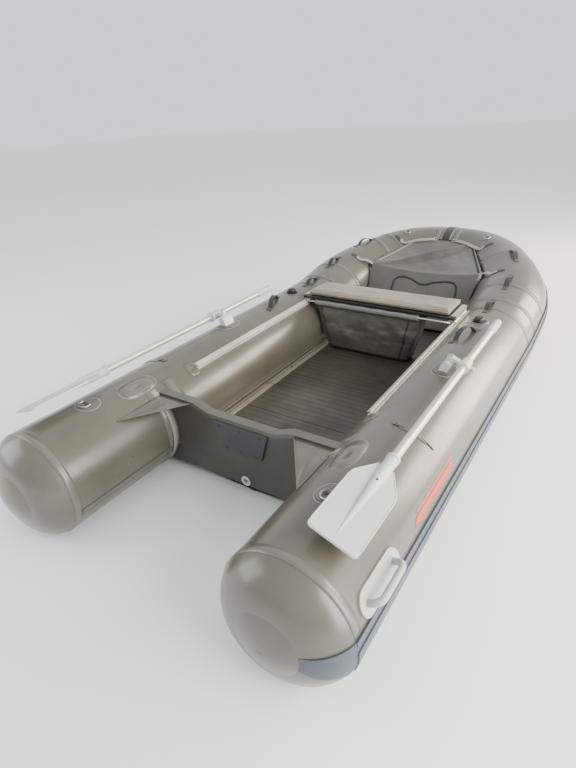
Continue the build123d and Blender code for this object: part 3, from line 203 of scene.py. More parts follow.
def crossed_group(name: str, pitch: float, depth: float) -> bpy.types.NodeTree:
    """Threads crossing at right angles, with some unevenness.

    Args:
        name: The group's name.
        pitch: Threads per metre, over twenty.
        depth: Share of the second set of threads.

    Returns:
        The node group.
    """
    ready = bpy.data.node_groups.get(name)
    if ready:
        return ready
    tree, start, end = new_group(name, "Height")
    heights = []
    for direction in ("X", "Y"):
        thread = tree.nodes.new("ShaderNodeTexWave")
        thread.bands_direction = direction
        thread.inputs["Scale"].default_value = pitch
        thread.inputs["Distortion"].default_value = 0.4
        tree.links.new(start.outputs["Place"], thread.inputs["Vector"])
        heights.append(thread.outputs["Fac"])
    second = tree.nodes.new("ShaderNodeMath")
    second.operation = "MULTIPLY"
    second.inputs[1].default_value = depth
    both = tree.nodes.new("ShaderNodeMath")
    both.operation = "ADD"
    tree.links.new(heights[1], second.inputs[0])
    tree.links.new(heights[0], both.inputs[0])
    tree.links.new(second.outputs["Value"], both.inputs[1])
    tree.links.new(both.outputs["Value"], end.inputs["Height"])
    return tree


TEXTURE_GROUPS: dict[Texture, Callable[[], bpy.types.NodeTree]] = {
    Texture.COATED: lambda: noise_group("coated_grain", 900.0, (1, 1, 1)),
    Texture.GRAINED: lambda: noise_group("moulded_grain", 1400.0, (1, 1, 1)),
    Texture.BRUSHED: lambda: noise_group("brushed_lines", 500.0, (0.02, 1, 1)),
    Texture.TIMBER: lambda: noise_group("timber_grain", 120.0, (0.08, 1, 1)),
    Texture.WOVEN: lambda: crossed_group("woven_threads", 80.0, 1.0),
    Texture.WEBBING: lambda: crossed_group("webbing_ribs", 55.0, 0.4),
}

HULL = Finish("coated_hull", (90, 86, 75), (74, 68, 57), 0.26, Texture.COATED, coat=0.35, bump=0.1)
TAPE = Finish("seam_tape", (98, 95, 85), (82, 77, 67), 0.3, Texture.COATED, coat=0.3, bump=0.1)
EDGE = Finish("patch_edge", (142, 140, 130), (122, 119, 110), 0.36, Texture.COATED, bump=0.1)
DARK_SKIN = Finish("bottom_skin", (58, 58, 54), (44, 44, 42), 0.55, Texture.COATED)
STRAKE = Finish("strake_rubber", (70, 76, 84), (54, 59, 66), 0.4, Texture.GRAINED, coat=0.1)
TRANSOM = Finish("transom_coat", (66, 65, 58), (52, 51, 46), 0.42, Texture.COATED, coat=0.1, bump=0.15)
TRIM_TAPE = Finish("transom_tape", (82, 79, 69), (66, 63, 55), 0.36, Texture.COATED, coat=0.2, bump=0.12)
PAD = Finish("motor_pad", (66, 63, 68), (54, 51, 56), 0.6, Texture.GRAINED, bump=0.6)
BLACK = Finish("black_moulding", (16, 17, 18), (11, 11, 12), 0.4, Texture.GRAINED, bump=0.4)
PALE = Finish("pale_moulding", (192, 196, 190), (172, 175, 168), 0.32, Texture.GRAINED, bump=0.2)
HANDLE = Finish("handle_rubber", (172, 173, 169), (148, 148, 143), 0.44, Texture.GRAINED, bump=0.3)
RAIL = Finish("rail_plastic", (190, 184, 168), (158, 152, 136), 0.28, Texture.GRAINED, coat=0.2)
STEEL = Finish("stainless_steel", (205, 205, 205), (170, 170, 168), 0.16, Texture.BRUSHED, metallic=1.0)
DULL_STEEL = Finish("dull_steel", (74, 72, 74), (54, 53, 55), 0.4, Texture.BRUSHED, metallic=0.8)
SHAFT = Finish("shaft_alloy", (216, 211, 196), (188, 183, 168), 0.28, Texture.BRUSHED, metallic=0.6)
FLOOR = Finish("floor_alloy", (84, 80, 70), (60, 56, 48), 0.32, Texture.BRUSHED, metallic=0.3, patch_size=5.0)
EDGE_ALLOY = Finish("edge_alloy", (204, 197, 180), (168, 161, 146), 0.26, Texture.BRUSHED, metallic=0.7)
BOARD = Finish("seat_timber", (26, 24, 21), (18, 17, 15), 0.45, Texture.TIMBER, coat=0.1)
CUSHION = Finish("cushion_vinyl", (122, 112, 95), (98, 88, 73), 0.48, Texture.WOVEN, sheen=0.2, bump=0.3)
BAG = Finish("bag_cloth", (78, 76, 67), (58, 56, 48), 0.38, Texture.WOVEN, coat=0.15, sheen=0.15, bump=0.3)
SLEEVE = Finish("sleeve_cloth", (110, 109, 104), (90, 89, 84), 0.45, Texture.WOVEN, sheen=0.1, bump=0.3)
TRIM = Finish("black_binding", (14, 14, 14), (9, 9, 9), 0.55, Texture.WEBBING)
WEB = Finish("grey_webbing", (34, 35, 36), (24, 25, 26), 0.6, Texture.WEBBING, sheen=0.1, bump=0.8)
LIGHT_WEB = Finish("light_tape", (150, 147, 138), (120, 117, 109), 0.5, Texture.WEBBING, bump=0.4)
MARK = Finish("side_band", (208, 68, 32), (188, 56, 26), 0.4, Texture.COATED, bump=0.1)
GROUND = Finish("pale_floor", (250, 250, 248), (246, 246, 243), 0.9, Texture.GRAINED, bump=0.02,
                patch_size=0.3)

NODE_FINISHES: dict[Finish, tuple[str, ...]] = {
    HULL: ("starboard_tube", "port_tube", "bow_tube", "stern_cones", "end_caps", "chamber_baffles"),
    TAPE: ("rail_beds", "dring_patches", "rowlock_pads", "oar_clips"),
    TRIM_TAPE: ("transom_trim",),
    DULL_STEEL: ("motor_pad_screws",),
    DARK_SKIN: ("bottom_fabric", "keel_tube"),
    STRAKE: ("rub_strakes", "keel_strip"),
    TRANSOM: ("transom_board",),
    PAD: ("motor_pad_outer", "motor_pad_inner"),
    BLACK: ("drain_nut", "drain_plug", "valve_bodies", "starboard_valve_cap", "port_valve_cap",
            "bow_valve_cap"),
    PALE: ("starboard_oar_blade", "port_oar_blade", "starboard_oar_collar", "port_oar_collar",
           "rowlock_bodies", "starboard_oar_grip", "port_oar_grip", "drain_housing"),
    HANDLE: ("carry_handles", "starboard_collar_screw", "port_collar_screw"),
    RAIL: ("seat_rails",),
    STEEL: ("rowlock_pins", "starboard_oar_button", "port_oar_button",
            "starboard_stern_dring", "port_stern_dring", "starboard_bow_dring", "port_bow_dring"),
    SHAFT: ("starboard_oar_lower_shaft", "port_oar_lower_shaft",
            "starboard_oar_upper_shaft", "port_oar_upper_shaft"),
    FLOOR: ("floor_panels", "floor_joiners"),
    EDGE_ALLOY: ("side_stringers", "seat_brackets"),
    BOARD: ("seat_board", "bow_board"),
    WEB: ("grab_loops", "bow_bag_straps"),
}


def dress_nodes() -> None:
    """Gives every carried-over node its finish."""
    for finish, names in NODE_FINISHES.items():
        for name in names:
            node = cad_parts[name]
            node.data.materials.clear()
            node.data.materials.append(finish.build())


# ---------------------------------------------------------------- mesh helpers
def add_mesh(name: str, points: list[Vector], faces: list[tuple[int, ...]], finish: Finish,
             body: str) -> bpy.types.Object:
    """Makes a mesh piece that rides on a body.

    Args:
        name: The piece's name.
        points: Its corners, in metres.
        faces: Corner numbers of each face.
        finish: Its finish.
        body: The body that it moves with.

    Returns:
        The new object.
    """
    mesh = bpy.data.meshes.new(name)
    mesh.from_pydata(points, [], faces)
    mesh.validate()
    mesh.polygons.foreach_set("use_smooth", [True] * len(mesh.polygons))
    mesh.materials.append(finish.build())
    piece = bpy.data.objects.new(name, mesh)
    bpy.context.scene.collection.objects.link(piece)
    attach(piece, body)
    return piece


def shell(top: Grid, bottom: Grid, wrap: bool = False) -> tuple[list[Vector], list[tuple[int, ...]]]:
    """Closes two matching grids into one thin solid.

    Args:
        top: Rows of points of the outer face.
        bottom: Rows of points of the inner face.
        wrap: Whether each row closes on itself.

    Returns:
        Points and faces.
    """
    rows, columns = len(top), len(top[0])
    points = [point for row in top for point in row] + [point for row in bottom for point in row]
    under = rows * columns
    last = columns if wrap else columns - 1
    faces: list[tuple[int, ...]] = []
    for row in range(rows - 1):
        for column in range(last):
            after = (column + 1) % columns
            a, b = row * columns + column, row * columns + after
            c, d = (row + 1) * columns + after, (row + 1) * columns + column
            faces.append((a, b, c, d))
            faces.append((under + d, under + c, under + b, under + a))
    for column in range(last):
        after = (column + 1) % columns
        far = (rows - 1) * columns
        faces.append((under + column, under + after, after, column))
        faces.append((far + column, far + after, under + far + after, under + far + column))
    if not wrap:
        for row in range(rows - 1):
            for column, flip in ((0, False), (columns - 1, True)):
                a, b = row * columns + column, (row + 1) * columns + column
                side = (a, b, under + b, under + a)
                faces.append(side[::-1] if flip else side)
    return points, faces


def pipe(name: str, path: list[Vector], radius: float, finish: Finish, body: str,
         closed: bool = False, flat: float = 1.0, up: Optional[Vector] = None) -> bpy.types.Object:
    """A round or flattened cord of cloth, binding or wire along a path.

    Args:
        name: The piece's name.
        path: Points along its middle.
        radius: Half its width.
        finish: Its finish.
        body: The body that it moves with.
        closed: Whether the path closes on itself.
        flat: Thickness over width.
        up: The direction it is flattened along.

    Returns:
        The new object.
    """
    sides = 10
    count = len(path)
    points: list[Vector] = []
    for index, place in enumerate(path):
        before = path[(index - 1) % count] if closed or index else place
        after = path[(index + 1) % count] if closed or index < count - 1 else place
        along = (after - before).normalized()
        across = along.cross(up or Vector((0.13, 0.21, 0.97))).normalized()
        lift = across.cross(along)
        for side in range(sides):
            turn = 2 * math.pi * side / sides
            points.append(place + radius * (math.cos(turn) * across + flat * math.sin(turn) * lift))
    faces: list[tuple[int, ...]] = []
    for index in range(count if closed else count - 1):
        for side in range(sides):
            following, nxt = (side + 1) % sides, (index + 1) % count
            faces.append((index * sides + side, index * sides + following,
                          nxt * sides + following, nxt * sides + side))
    if not closed:
        faces.append(tuple(reversed(range(sides))))
        faces.append(tuple(range((count - 1) * sides, count * sides)))
    return add_mesh(name, points, faces, finish, body)


def between(ends: tuple[float, float], share: float) -> float:
    """A value part of the way from one end to the other."""
    return ends[0] + (ends[1] - ends[0]) * share


def ruffle(place: Vector, size: float, seed: float) -> float:
    """A smooth random height between about -1 and 1."""
    return noise.fractal(place / size + Vector((seed, seed, seed)), 0.8, 2.0, 3)


# ---------------------------------------------------------------- air tube
@dataclass
class AirTube:
    """The hull tube's centre line and skin, from which everything glued to it takes its place."""

    sheer: float = math.radians(9.5)
    bend_half: float = 0.08
    bow_reach: float = 0.975
    shoulder_reach: float = 0.5
    front_half: float = 0.27
    shoulder_radius: float = 0.85
    front_radius: float = 0.36
    points: list[Vector] = field(default_factory=list)
    lengths: list[float] = field(default_factory=list)
    joints: list[float] = field(default_factory=list)

    def __post_init__(self) -> None:
        """Reads the tube's size from the frame and lays out its starboard half."""
        low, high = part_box("starboard_tube")
        cone_low, cone_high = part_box("stern_cones")
        self.half = (low.x + high.x) / 2
        self.radius = (high.x - low.x) / 2
        self.seam_y = cone_high.y
        self.cap_y = cone_low.y
        self.transom_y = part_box("transom_board")[0].y
        front_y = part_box("bow_tube")[1].y - self.radius
        self.bend_y = front_y - self.bow_reach * math.cos(self.sheer)
        self.normal = Vector((0, -math.sin(self.sheer), math.cos(self.sheer)))
        bend_radius = self.bend_half / math.tan(self.sheer / 2)
        corners = [
            Vector((self.half, self.seam_y, self.radius)),
            self.incline(self.half, 0),
            self.incline(self.half, self.shoulder_reach),
            self.incline(self.front_half, self.bow_reach),
            self.incline(0, self.bow_reach),
        ]
        self.follow(corners, [bend_radius, self.shoulder_radius, self.front_radius])

    def incline(self, x: float, reach: float) -> Vector:
        """A point of the bow section's own plane."""
        rise = reach * math.sin(self.sheer)
        return Vector((x, self.bend_y + reach * math.cos(self.sheer), self.radius + rise))

    def follow(self, corners: list[Vector], radii: list[float]) -> None:
        """Samples straight runs and the arcs between them.

        Args:
            corners: The route's corners.
            radii: The bend's radius at each corner but the first and the last.
        """
        route = [(corners[0], False)]
        for corner, radius in zip(range(1, len(corners) - 1), radii):
            back = (corners[corner - 1] - corners[corner]).normalized()
            ahead = (corners[corner + 1] - corners[corner]).normalized()
            half_turn = (math.pi - back.angle(ahead)) / 2
            reach = radius * math.tan(half_turn)
            middle = corners[corner] + (back + ahead).normalized() * radius / math.cos(half_turn)
            start = corners[corner] + back * reach - middle
            end = corners[corner] + ahead * reach - middle
            steps = 20
            for step in range(steps + 1):
                arm = start.normalized().slerp(end.normalized(), step / steps) * radius
                route.append((middle + arm, step in (0, steps)))
        route.append((corners[-1], False))
        travelled = 0.0
        for index, (place, is_joint) in enumerate(route):
            if index:
                travelled += (place - route[index - 1][0]).length
            self.points.append(place)
            self.lengths.append(travelled)
            if is_joint:
                self.joints.append(travelled)

    def at_y(self, y: float) -> float:
        """Distance along the tube at a place along the boat."""
        for index in range(1, len(self.points)):
            before, after = self.points[index - 1], self.points[index]
            if y <= after.y:
                share = (y - before.y) / (after.y - before.y)
                return self.lengths[index - 1] + share * (self.lengths[index] - self.lengths[index - 1])
        return self.lengths[-1]

    def centre(self, distance: float) -> tuple[Vector, Vector]:
        """Middle of the tube and its direction, at a distance from the stern seam."""
        index = 1
        while index < len(self.points) - 1 and self.lengths[index] < distance:
            index += 1
        before, after = self.points[index - 1], self.points[index]
        share = (distance - self.lengths[index - 1]) / (self.lengths[index] - self.lengths[index - 1])
        far = self.points[min(index + 1, len(self.points) - 1)]
        near = self.points[max(index - 2, 0)]
        along = (after - before).normalized()
        if 1 < index < len(self.points) - 1:
            along = ((before - near).normalized() + along + (far - after).normalized()).normalized()
        return before.lerp(after, share), along

    def skin(self, distance: float, angle: float, lift: float, side: int = 1) -> Vector:
        """A point over the tube's skin.

        Args:
            distance: From the stern seam along the tube.
            angle: Round the tube in degrees from its outer side, upwards.
            lift: Height over the skin.
            side: 1 for starboard, -1 for port.

        Returns:
            The point.
        """
        middle, along = self.centre(distance)
        outboard = along.cross(self.normal).normalized()
        upward = outboard.cross(along)
        turn = math.radians(angle)
        out = outboard * math.cos(turn) + upward * math.sin(turn)
        place = middle + out * (self.radius + lift)
        return Vector((place.x * side, place.y, place.z))

    def band(self, name: str, start: float, end: float, angles: tuple[float, float], lift: float,
             finish: Finish = TAPE, thick: float = 0.0011) -> None:
        """A strip of tape or cloth glued on both tubes.

        Args:
            name: The pieces' name, before the side's.
            start: Distance of its after edge.
            end: Distance of its forward edge.
            angles: Its first and last angle round the tube.
            lift: Height of its underside over the skin.
            finish: Its finish.
            thick: Its thickness.
        """
        across = max(2, int(abs(angles[1] - angles[0]) / 4))
        steps = max(2, int((end - start) / 0.03))
        for side in SIDES:
            grids = []
            for height in (lift + thick, lift):
                rows = []
                for step in range(steps + 1):
                    distance = start + (end - start) * step / steps
                    row = [self.skin(distance, between(angles, part / across), height, side)
                           for part in range(across + 1)]
                    rows.append(row)
                grids.append(rows)
            points, faces = shell(grids[0], grids[1])
            add_mesh(f"{name}_{side_name(side)}", points, faces, finish, "hull")

    def patch(self, name: str, y: float, angle: float, half: tuple[float, float], lift: float = 0.0002,
              power: float = 2.0, finish: Finish = TAPE, thick: float = 0.0012,
              hole: float = 0.0) -> None:
        """A round, oval or round-cornered patch glued on both tubes.

        Args:
            name: The pieces' name, before the side's.
            y: Its middle along the boat.
            angle: Its middle round the tube.
            half: Half its length along the tube and half its width round it.
            lift: Height of its underside over the skin.
            power: 2 for an ellipse, more for squarer corners.
            finish: Its finish.
            thick: Its thickness.
            hole: Size of an opening in its middle, as a share of the patch.
        """
        middle = self.at_y(y)
        around = 64
        shares = [hole or 0.02, 0.5 + hole / 2, 1.0]
        for side in SIDES:
            grids = []
            for height in (lift + thick, lift):
                rows = []
                for share in shares:
                    row = []
                    for step in range(around):
                        where = 2 * math.pi * step / around
                        c, s = math.cos(where), math.sin(where)
                        u = half[0] * share * math.copysign(abs(c) ** (2 / power), c)
                        v = half[1] * share * math.copysign(abs(s) ** (2 / power), s)
                        turned = angle + math.degrees(v / self.radius)
                        row.append(self.skin(middle + u, turned, height, side))
                    rows.append(row)
                grids.append(rows)
            points, faces = shell(grids[0], grids[1], wrap=True)
            add_mesh(f"{name}_{side_name(side)}", points, faces, finish, "hull")

    def clear_x(self, y: float, z: float, limit: float, room: float = 0.004) -> float:
        """How far from the centre line a point may be and still clear the tube.

        Args:
            y: Its place along the boat.
            z: Its height.
            limit: The furthest that is wanted.
            room: The clearance.

        Returns:
            The greatest clear distance, up to the limit.
        """
        reach = self.radius + room
        best = limit
        while best > 0.01:
            place = Vector((best, y, z))
            if min((place - point).length for point in self.points[1:]) >= reach and (
                    y > self.bend_y - self.bend_half
                    or math.hypot(best - self.half, z - self.radius) >= reach):
                return best
            best -= 0.003
        return best


def side_name(side: int) -> str:
    """The name of a side: 1 is starboard."""
    return "starboard" if side > 0 else "port"


@dataclass
class HullSeams:
    """Tapes, doublings and patches welded on the tubes."""

    tube: AirTube
    strake_top: float = 13.0
    strake_low: float = 342.0
    tape_width: float = 0.034

    def build(self) -> None:
        """Makes every tape and patch."""
        whole = (self.strake_top, self.strake_low)
        tube = self.tube
        tube.band("stern_seam_tape", 0.001, self.tape_width, whole, 0.0002)
        for number, distance in enumerate(tube.joints):
            tube.band(f"gore_tape_{number}", distance - self.tape_width / 2,
                      distance + self.tape_width / 2, whole, 0.0002)
        end = tube.lengths[-1]
        tube.band("inner_seam_tape", self.tape_width, end - 0.01, (196.0, 203.0), 0.0015)
        tube.band("floor_seam_tape", tube.at_y(tube.transom_y), end - 0.01, (238.0, 246.0), 0.0015)
        self.doublings()

    def doublings(self) -> None:
        """Makes the doubled stern panel, the transom's tapes and the round patches."""
        tube, aft = self.tube, self.tube.transom_y
        transom = tube.at_y(aft)
        tube.band("transom_tape_aft", transom - 0.062, transom - 0.008, (118.0, 240.0), 0.0002)
        tube.band("transom_tape_fine", transom - 0.036, transom - 0.008, (122.0, 236.0), 0.0016, finish=EDGE)
        tube.band("transom_tape_fore", transom + 0.042, transom + 0.1, (118.0, 236.0), 0.0002)
        tube.patch("gusset_patch", aft - 0.055, 108.0, (0.088, 0.048), power=2.6)
        tube.patch("gusset_patch_edge", aft - 0.055, 108.0, (0.091, 0.051), lift=0.0001, power=2.6,
                   thick=0.0008, finish=EDGE, hole=0.96)
        tube.patch("rowlock_edge", aft + 0.643, 86.2, (0.068, 0.049), power=2.6, finish=EDGE,
                   thick=0.0009, hole=0.88)
        tube.patch("stern_ring_edge", aft - 0.262, 94.0, (0.05, 0.05), finish=EDGE, thick=0.0009, hole=0.9)
        tube.patch("valve_edge", aft + 1.222, 92.0, (0.046, 0.046), finish=TAPE, thick=0.001, hole=0.68)
        for number, y in enumerate((0.22, 1.43)):
            tube.patch(f"rail_end_patch_{number}", aft + y, 125.0, (0.036, 0.042), finish=TAPE,
                       thick=0.0009, power=2.4)


@dataclass
class SideBands:
    """Two plain lengthwise bands, one broad and one fine, on each quarter."""

    tube: AirTube
    aft: float = -0.13
    fore: float = 0.2
    slant: float = 0.035
    broad: tuple[float, float] = (20.0, 25.5)
    fine: tuple[float, float] = (27.5, 28.9)

    def build(self) -> None:
        """Makes both bands on both quarters."""
        start = self.tube.at_y(self.tube.transom_y + self.aft)
        end = self.tube.at_y(self.tube.transom_y + self.fore)
        for name, angles in (("broad", self.broad), ("fine", self.fine)):
            for side in SIDES:
                grids = []
                for height in (0.0009, 0.0003):
                    rows = []
                    for part in range(5):
                        angle = angles[0] + (angles[1] - angles[0]) * part / 4
                        shift = self.slant * (angle - self.broad[0]) / (self.fine[1] - self.broad[0])
                        places = [start + shift + (end - start) * step / 16 for step in range(17)]
                        rows.append([self.tube.skin(place, angle, height, side) for place in places])
                    grids.append(rows)
                points, faces = shell(grids[0], grids[1])
                add_mesh(f"side_band_{name}_{side_name(side)}", points, faces, MARK, "hull")


@dataclass
class Gussets:
    """Cloth webs that brace the transom's corners to the tubes."""

    tube: AirTube
    sag: float = 0.007
    thick: float = 0.0016

    def build(self) -> None:
        """Makes both webs and their hems."""
        low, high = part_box("transom_gussets")
        inner, aft, fore, height = 0.25, low.y, high.y, high.z
        for side in SIDES:
            grids = []
            for drop in (0.0, self.thick):
                rows = []
                for row in range(13):
                    share = row / 12
                    y = fore + (aft - fore) * share
                    outer = self.tube.clear_x(y, height - drop, high.x, 0.0006)
                    first = inner + (outer - inner) * share * 0.985
                    line = []
                    for step in range(13):
                        part = step / 12
                        dip = self.sag * math.sin(math.pi * part) * math.sin(math.pi * share)
                        held = math.sin(math.pi * share) * math.sin(math.pi * part)
                        crease = held * (0.005 * math.sin(11 * part + 5 * share)
                                         + 0.007 * ruffle(Vector((part, share, side)), 0.45, 5.0))
                        line.append(Vector((side * (first + (outer - first) * part), y,
                                            height - drop - dip - crease)))
                    rows.append(line)
                grids.append(rows)
            points, faces = shell(grids[0], grids[1])
            web = add_mesh(f"gusset_web_{side_name(side)}", points, faces, HULL, "hull")
            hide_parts("transom_gussets")
            hem = [row[0] + Vector((0, 0, -0.001)) for row in grids[0]]
            pipe(f"gusset_hem_{side_name(side)}", hem, 0.0022, TAPE, "hull")


@dataclass
class OarBlades:
    """Raised rims and drain holes of both oar blades."""

    tilt: float = math.radians(69.0)
    rim: float = 0.0021
    neck_half: float = 0.024
    hole_radius: float = 0.0035

    def build(self) -> None:
        """Makes each blade's rim and hole."""
        for side in SIDES:
            name = side_name(side)
            shaft_low, shaft_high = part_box(f"{name}_oar_upper_shaft")
            low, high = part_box(f"{name}_oar_blade")
            middle = (shaft_low + shaft_high) / 2
            across = Vector((side * math.sin(self.tilt), 0, -math.cos(self.tilt)))
            normal = Vector((side * math.cos(self.tilt), 0, math.sin(self.tilt)))
            half = (high.x - low.x) / 2 / math.sin(self.tilt) - self.rim
            tip, length = low.y + self.rim, high.y - low.y
            neck, shoulder = tip + 0.86 * length, tip + 0.62 * length
            corner = 0.024
            outline = [(neck, self.neck_half), (shoulder + 0.012, half - 0.004), (shoulder - 0.014, half),
                       (tip + corner, half), (tip + 0.3 * corner, half - 0.3 * corner), (tip, half - corner)]
            outline += [(y, -x) for y, x in reversed(outline)]
            for face, lift in (("upper", 0.0028), ("lower", -0.0028)):
                path = [Vector((middle.x, y, middle.z)) + across * x + normal * lift for y, x in outline]
                pipe(f"blade_rim_{face}_{name}", path, self.rim, PALE, f"{name}_oar",
                     flat=0.7, up=normal)
            self.hole(name, Vector((middle.x, tip + 0.66 * length, middle.z)), normal, across)

    def hole(self, name: str, place: Vector, normal: Vector, across: Vector) -> None:
        """Makes the dark drain hole's lip on the spine.

        Args:
            name: The oar's side.
            place: The point on the oar's axis under it.
            normal: The blade's upward direction.
            across: The blade's crosswise direction.
        """
        ring = []
        for step in range(20):
            turn = 2 * math.pi * step / 20
            offset = Vector((0, math.sin(turn), 0)) + across * math.cos(turn)
            ring.append(place + normal * 0.0172 + offset * self.hole_radius * 0.6)
        pipe(f"blade_hole_{name}", ring, self.hole_radius * 0.6, BLACK, f"{name}_oar",
             closed=True, flat=0.5, up=normal)


@dataclass
class BowStrap:
    """Light stitched borders of the lifting strap over the bow."""

    tube: AirTube
    half: float = 0.0295
    angles: tuple[float, float] = (50.0, 121.0)

    def build(self) -> None:
        """Makes the border on each side of the strap."""
        end = self.tube.lengths[-1]
        for side in SIDES:
            path = [self.tube.skin(end - self.half, between(self.angles, step / 24),
                                   0.0014, side) for step in range(25)]
            pipe(f"bow_strap_border_{side_name(side)}", path, 0.0034, EDGE, "hull", flat=0.4,
                 up=Vector((0, 0.5, 0.86)))


# ---------------------------------------------------------------- seat
@dataclass
class Bench:
    """The sliding seat's padded cushion, its bag and the rod that carries the bag."""

    seed: float = 4.0
    swell_cap: float = 0.006
    voxel: float = 0.006
    rod_radius: float = 0.0045

    def build(self) -> None:
        """Makes the cushion, its binding, the bag and its rod."""
        self.cushion()
        self.binding()
        self.bag()
        self.rod()

    def cushion(self) -> None:
        """Makes the pad: a boxed cover that swells as its foam pushes out."""
        low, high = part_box("seat_cushion")
        inset = 0.004
        centre = (low + high) / 2
        half = (high - low) / 2 - Vector((inset, inset, inset * 0.7))
        columns, rows, layers = 90, 24, 6
        points: list[Vector] = []
        faces: list[tuple[int, ...]] = []
        around = []
        for step in range(columns * 2 + rows * 2):
            if step < columns:
                u, v = -1 + 2 * step / columns, -1.0
            elif step < columns + rows:
                u, v = 1.0, -1 + 2 * (step - columns) / rows
            elif step < 2 * columns + rows:
                u, v = 1 - 2 * (step - columns - rows) / columns, 1.0
            else:
                u, v = -1.0, 1 - 2 * (step - 2 * columns - rows) / rows
            around.append((u, v))
        for layer in range(layers + 1):
            w = -1 + 2 * layer / layers
            shrink = 1 - 0.05 * abs(w) ** 6
            for u, v in around:
                points.append(centre + Vector((u * half.x * (1 - 0.004 * abs(w) ** 6),
                                               v * half.y * shrink, w * half.z)))
        count = len(around)
        for layer in range(layers):
            for step in range(count):
                after = (step + 1) % count
                faces.append((layer * count + step, layer * count + after,
                              (layer + 1) * count + after, (layer + 1) * count + step))
        faces.append(tuple(reversed(range(count))))
        faces.append(tuple(range(layers * count, (layers + 1) * count)))
        pad = add_mesh("bench_cushion", points, faces, CUSHION, "seat")
        self.inflate(pad, low.z)
        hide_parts("seat_cushion")

    def inflate(self, pad: bpy.types.Object, base: float) -> None:
        """Swells the pad with cloth pressure, then sews its cross seams.

        Args:
            pad: The cushion's mesh.
            base: Height of the board that it lies on.
        """
        remesh = pad.modifiers.new("even", "REMESH")
        remesh.mode = "VOXEL"
        remesh.voxel_size = self.voxel
        apply_modifier(pad, "even")
        for face in pad.data.polygons:
            face.use_smooth = True
        start = [vertex.co.copy() for vertex in pad.data.vertices]
        cloth = pad.modifiers.new("swell", "CLOTH")
        cloth.settings.use_pressure = True
        cloth.settings.uniform_pressure_force = 4.0
        cloth.settings.effector_weights.gravity = 0.0
        cloth.point_cache.frame_start = 1
        cloth.point_cache.frame_end = 20
        for number in range(1, 21):
            bpy.context.scene.frame_set(number)
        evaluated = pad.evaluated_get(bpy.context.evaluated_depsgraph_get())
        moved = [vertex.co.copy() for vertex in evaluated.data.vertices]
        pad.modifiers.remove(cloth)
        bpy.context.scene.frame_set(1)
        for vertex, before, after in zip(pad.data.vertices, start, moved):
            step = after - before
            if step.length > self.swell_cap:
                step *= self.swell_cap / step.length
            vertex.co = before + step
        low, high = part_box("seat_cushion")
        for vertex in pad.data.vertices:
            place = vertex.co
            place.z = max(place.z, base + 0.0002)
            top = max(0.0, (place.z - base) / (high.z - base) - 0.5)
            place.z += top * 0.0035 * ruffle(Vector((place.x, place.y * 2.0, 0)), 0.09, self.seed)
            edge = min(place.y - low.y, high.y - place.y)
            seam = math.exp(-((edge - 0.024) / 0.0022) ** 2)
            place.z -= top * 0.004 * seam
        apply_subdivision(pad)

    def binding(self) -> None:
        """Makes the piping along the pad's front and back and the black strip on the board's edge under it.
        """
        low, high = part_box("seat_cushion")
        for number, y in enumerate((low.y + 0.001, high.y - 0.001)):
            path = [Vector((low.x + 0.012 + (high.x - low.x - 0.024) * step / 40, y,
                            high.z - 0.008 + 0.0006 * math.sin(step * 1.7))) for step in range(41)]
            pipe(f"cushion_piping_{number}", path, 0.0024, CUSHION, "seat")
        board_low, board_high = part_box("seat_board")
        path = [Vector((board_low.x + 0.06 + (board_high.x - board_low.x - 0.12) * step / 30,
                        board_low.y - 0.0012, board_high.z - 0.003)) for step in range(31)]
        pipe("board_edge_strip", path, 0.0065, TRIM, "seat", flat=0.25, up=Vector((0, 1, 0)))

    def bag(self) -> None:
        """Makes the hanging bag: a slack shell with creases from its corners."""
        low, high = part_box("under_seat_bag")
        around, rows = 150, 44
        centre_y = (low.y + high.y) / 2
        grids = []
        for wall in (0.0, 0.0014):
            lines = []
            for row in range(rows + 1):
                share = row / rows
                z = low.z + 0.003 + (high.z - low.z - 0.004) * share
                left = low.x + 0.075 * (1 - share) ** 1.4
                right = high.x - 0.07 * (1 - share) ** 1.4
                slack = math.sin(math.pi * share)
                line = []
                for step in range(around):
                    angle = 2 * math.pi * step / around
                    u, v = soft_box(angle, 0), soft_box(angle, 1)
                    x = (left + right) / 2 + (right - left) / 2 * u
                    belly = 0.86 + 0.1 * math.sin(math.pi * (1 - share) ** 0.7)
                    y = centre_y + (high.y - low.y) / 2 * v * belly
                    face = Vector((x * 1.1 + 0.5 * z, 0.3 * v, z * 1.2 - 0.35 * x))
                    crease = 0.014 * ruffle(face, 0.13, 2.0) + 0.004 * ruffle(face, 0.04, 7.0)
                    pull = 0.006 * math.sin(26 * (x - left) * (1 - share)) * slack * 0.5
                    y += (crease + pull) * slack * math.copysign(1, v) * min(1.0, abs(v) * 2)
                    inward = Vector((math.cos(angle), math.sin(angle), 0)) * wall
                    line.append(Vector((x, y, z)) - inward)
                lines.append(line)
            grids.append(lines)
        points, faces = bottle(grids[0], grids[1])
        bag = add_mesh("bench_bag", points, faces, BAG, "seat")
        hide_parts("under_seat_bag")
        for number, row in enumerate((1, rows - 2)):
            ring = [point + Vector((0, -0.001, 0)) for point in grids[0][row]]
            pipe(f"bag_piping_{number}", ring, 0.0026, TRIM, "seat", closed=True)
        for number, share in enumerate((0.635, 0.865)):
            step = int(around * share)
            seam = [grids[0][row][step] + Vector((0, -0.0008, 0)) for row in range(1, rows - 1)]
            pipe(f"bag_side_seam_{number}", seam, 0.0024, TRIM, "seat")
        sleeve = [Vector((low.x + 0.012 + (high.x - low.x - 0.024) * step / 40, low.y - 0.004,
                          high.z - 0.016 - 0.001 * math.sin(step * 0.9))) for step in range(41)]
        pipe("bag_sleeve", sleeve, 0.0145, SLEEVE, "seat", flat=0.42, up=Vector((0, 1, 0)))
        under = [point + Vector((0, -0.001, -0.0165)) for point in sleeve]
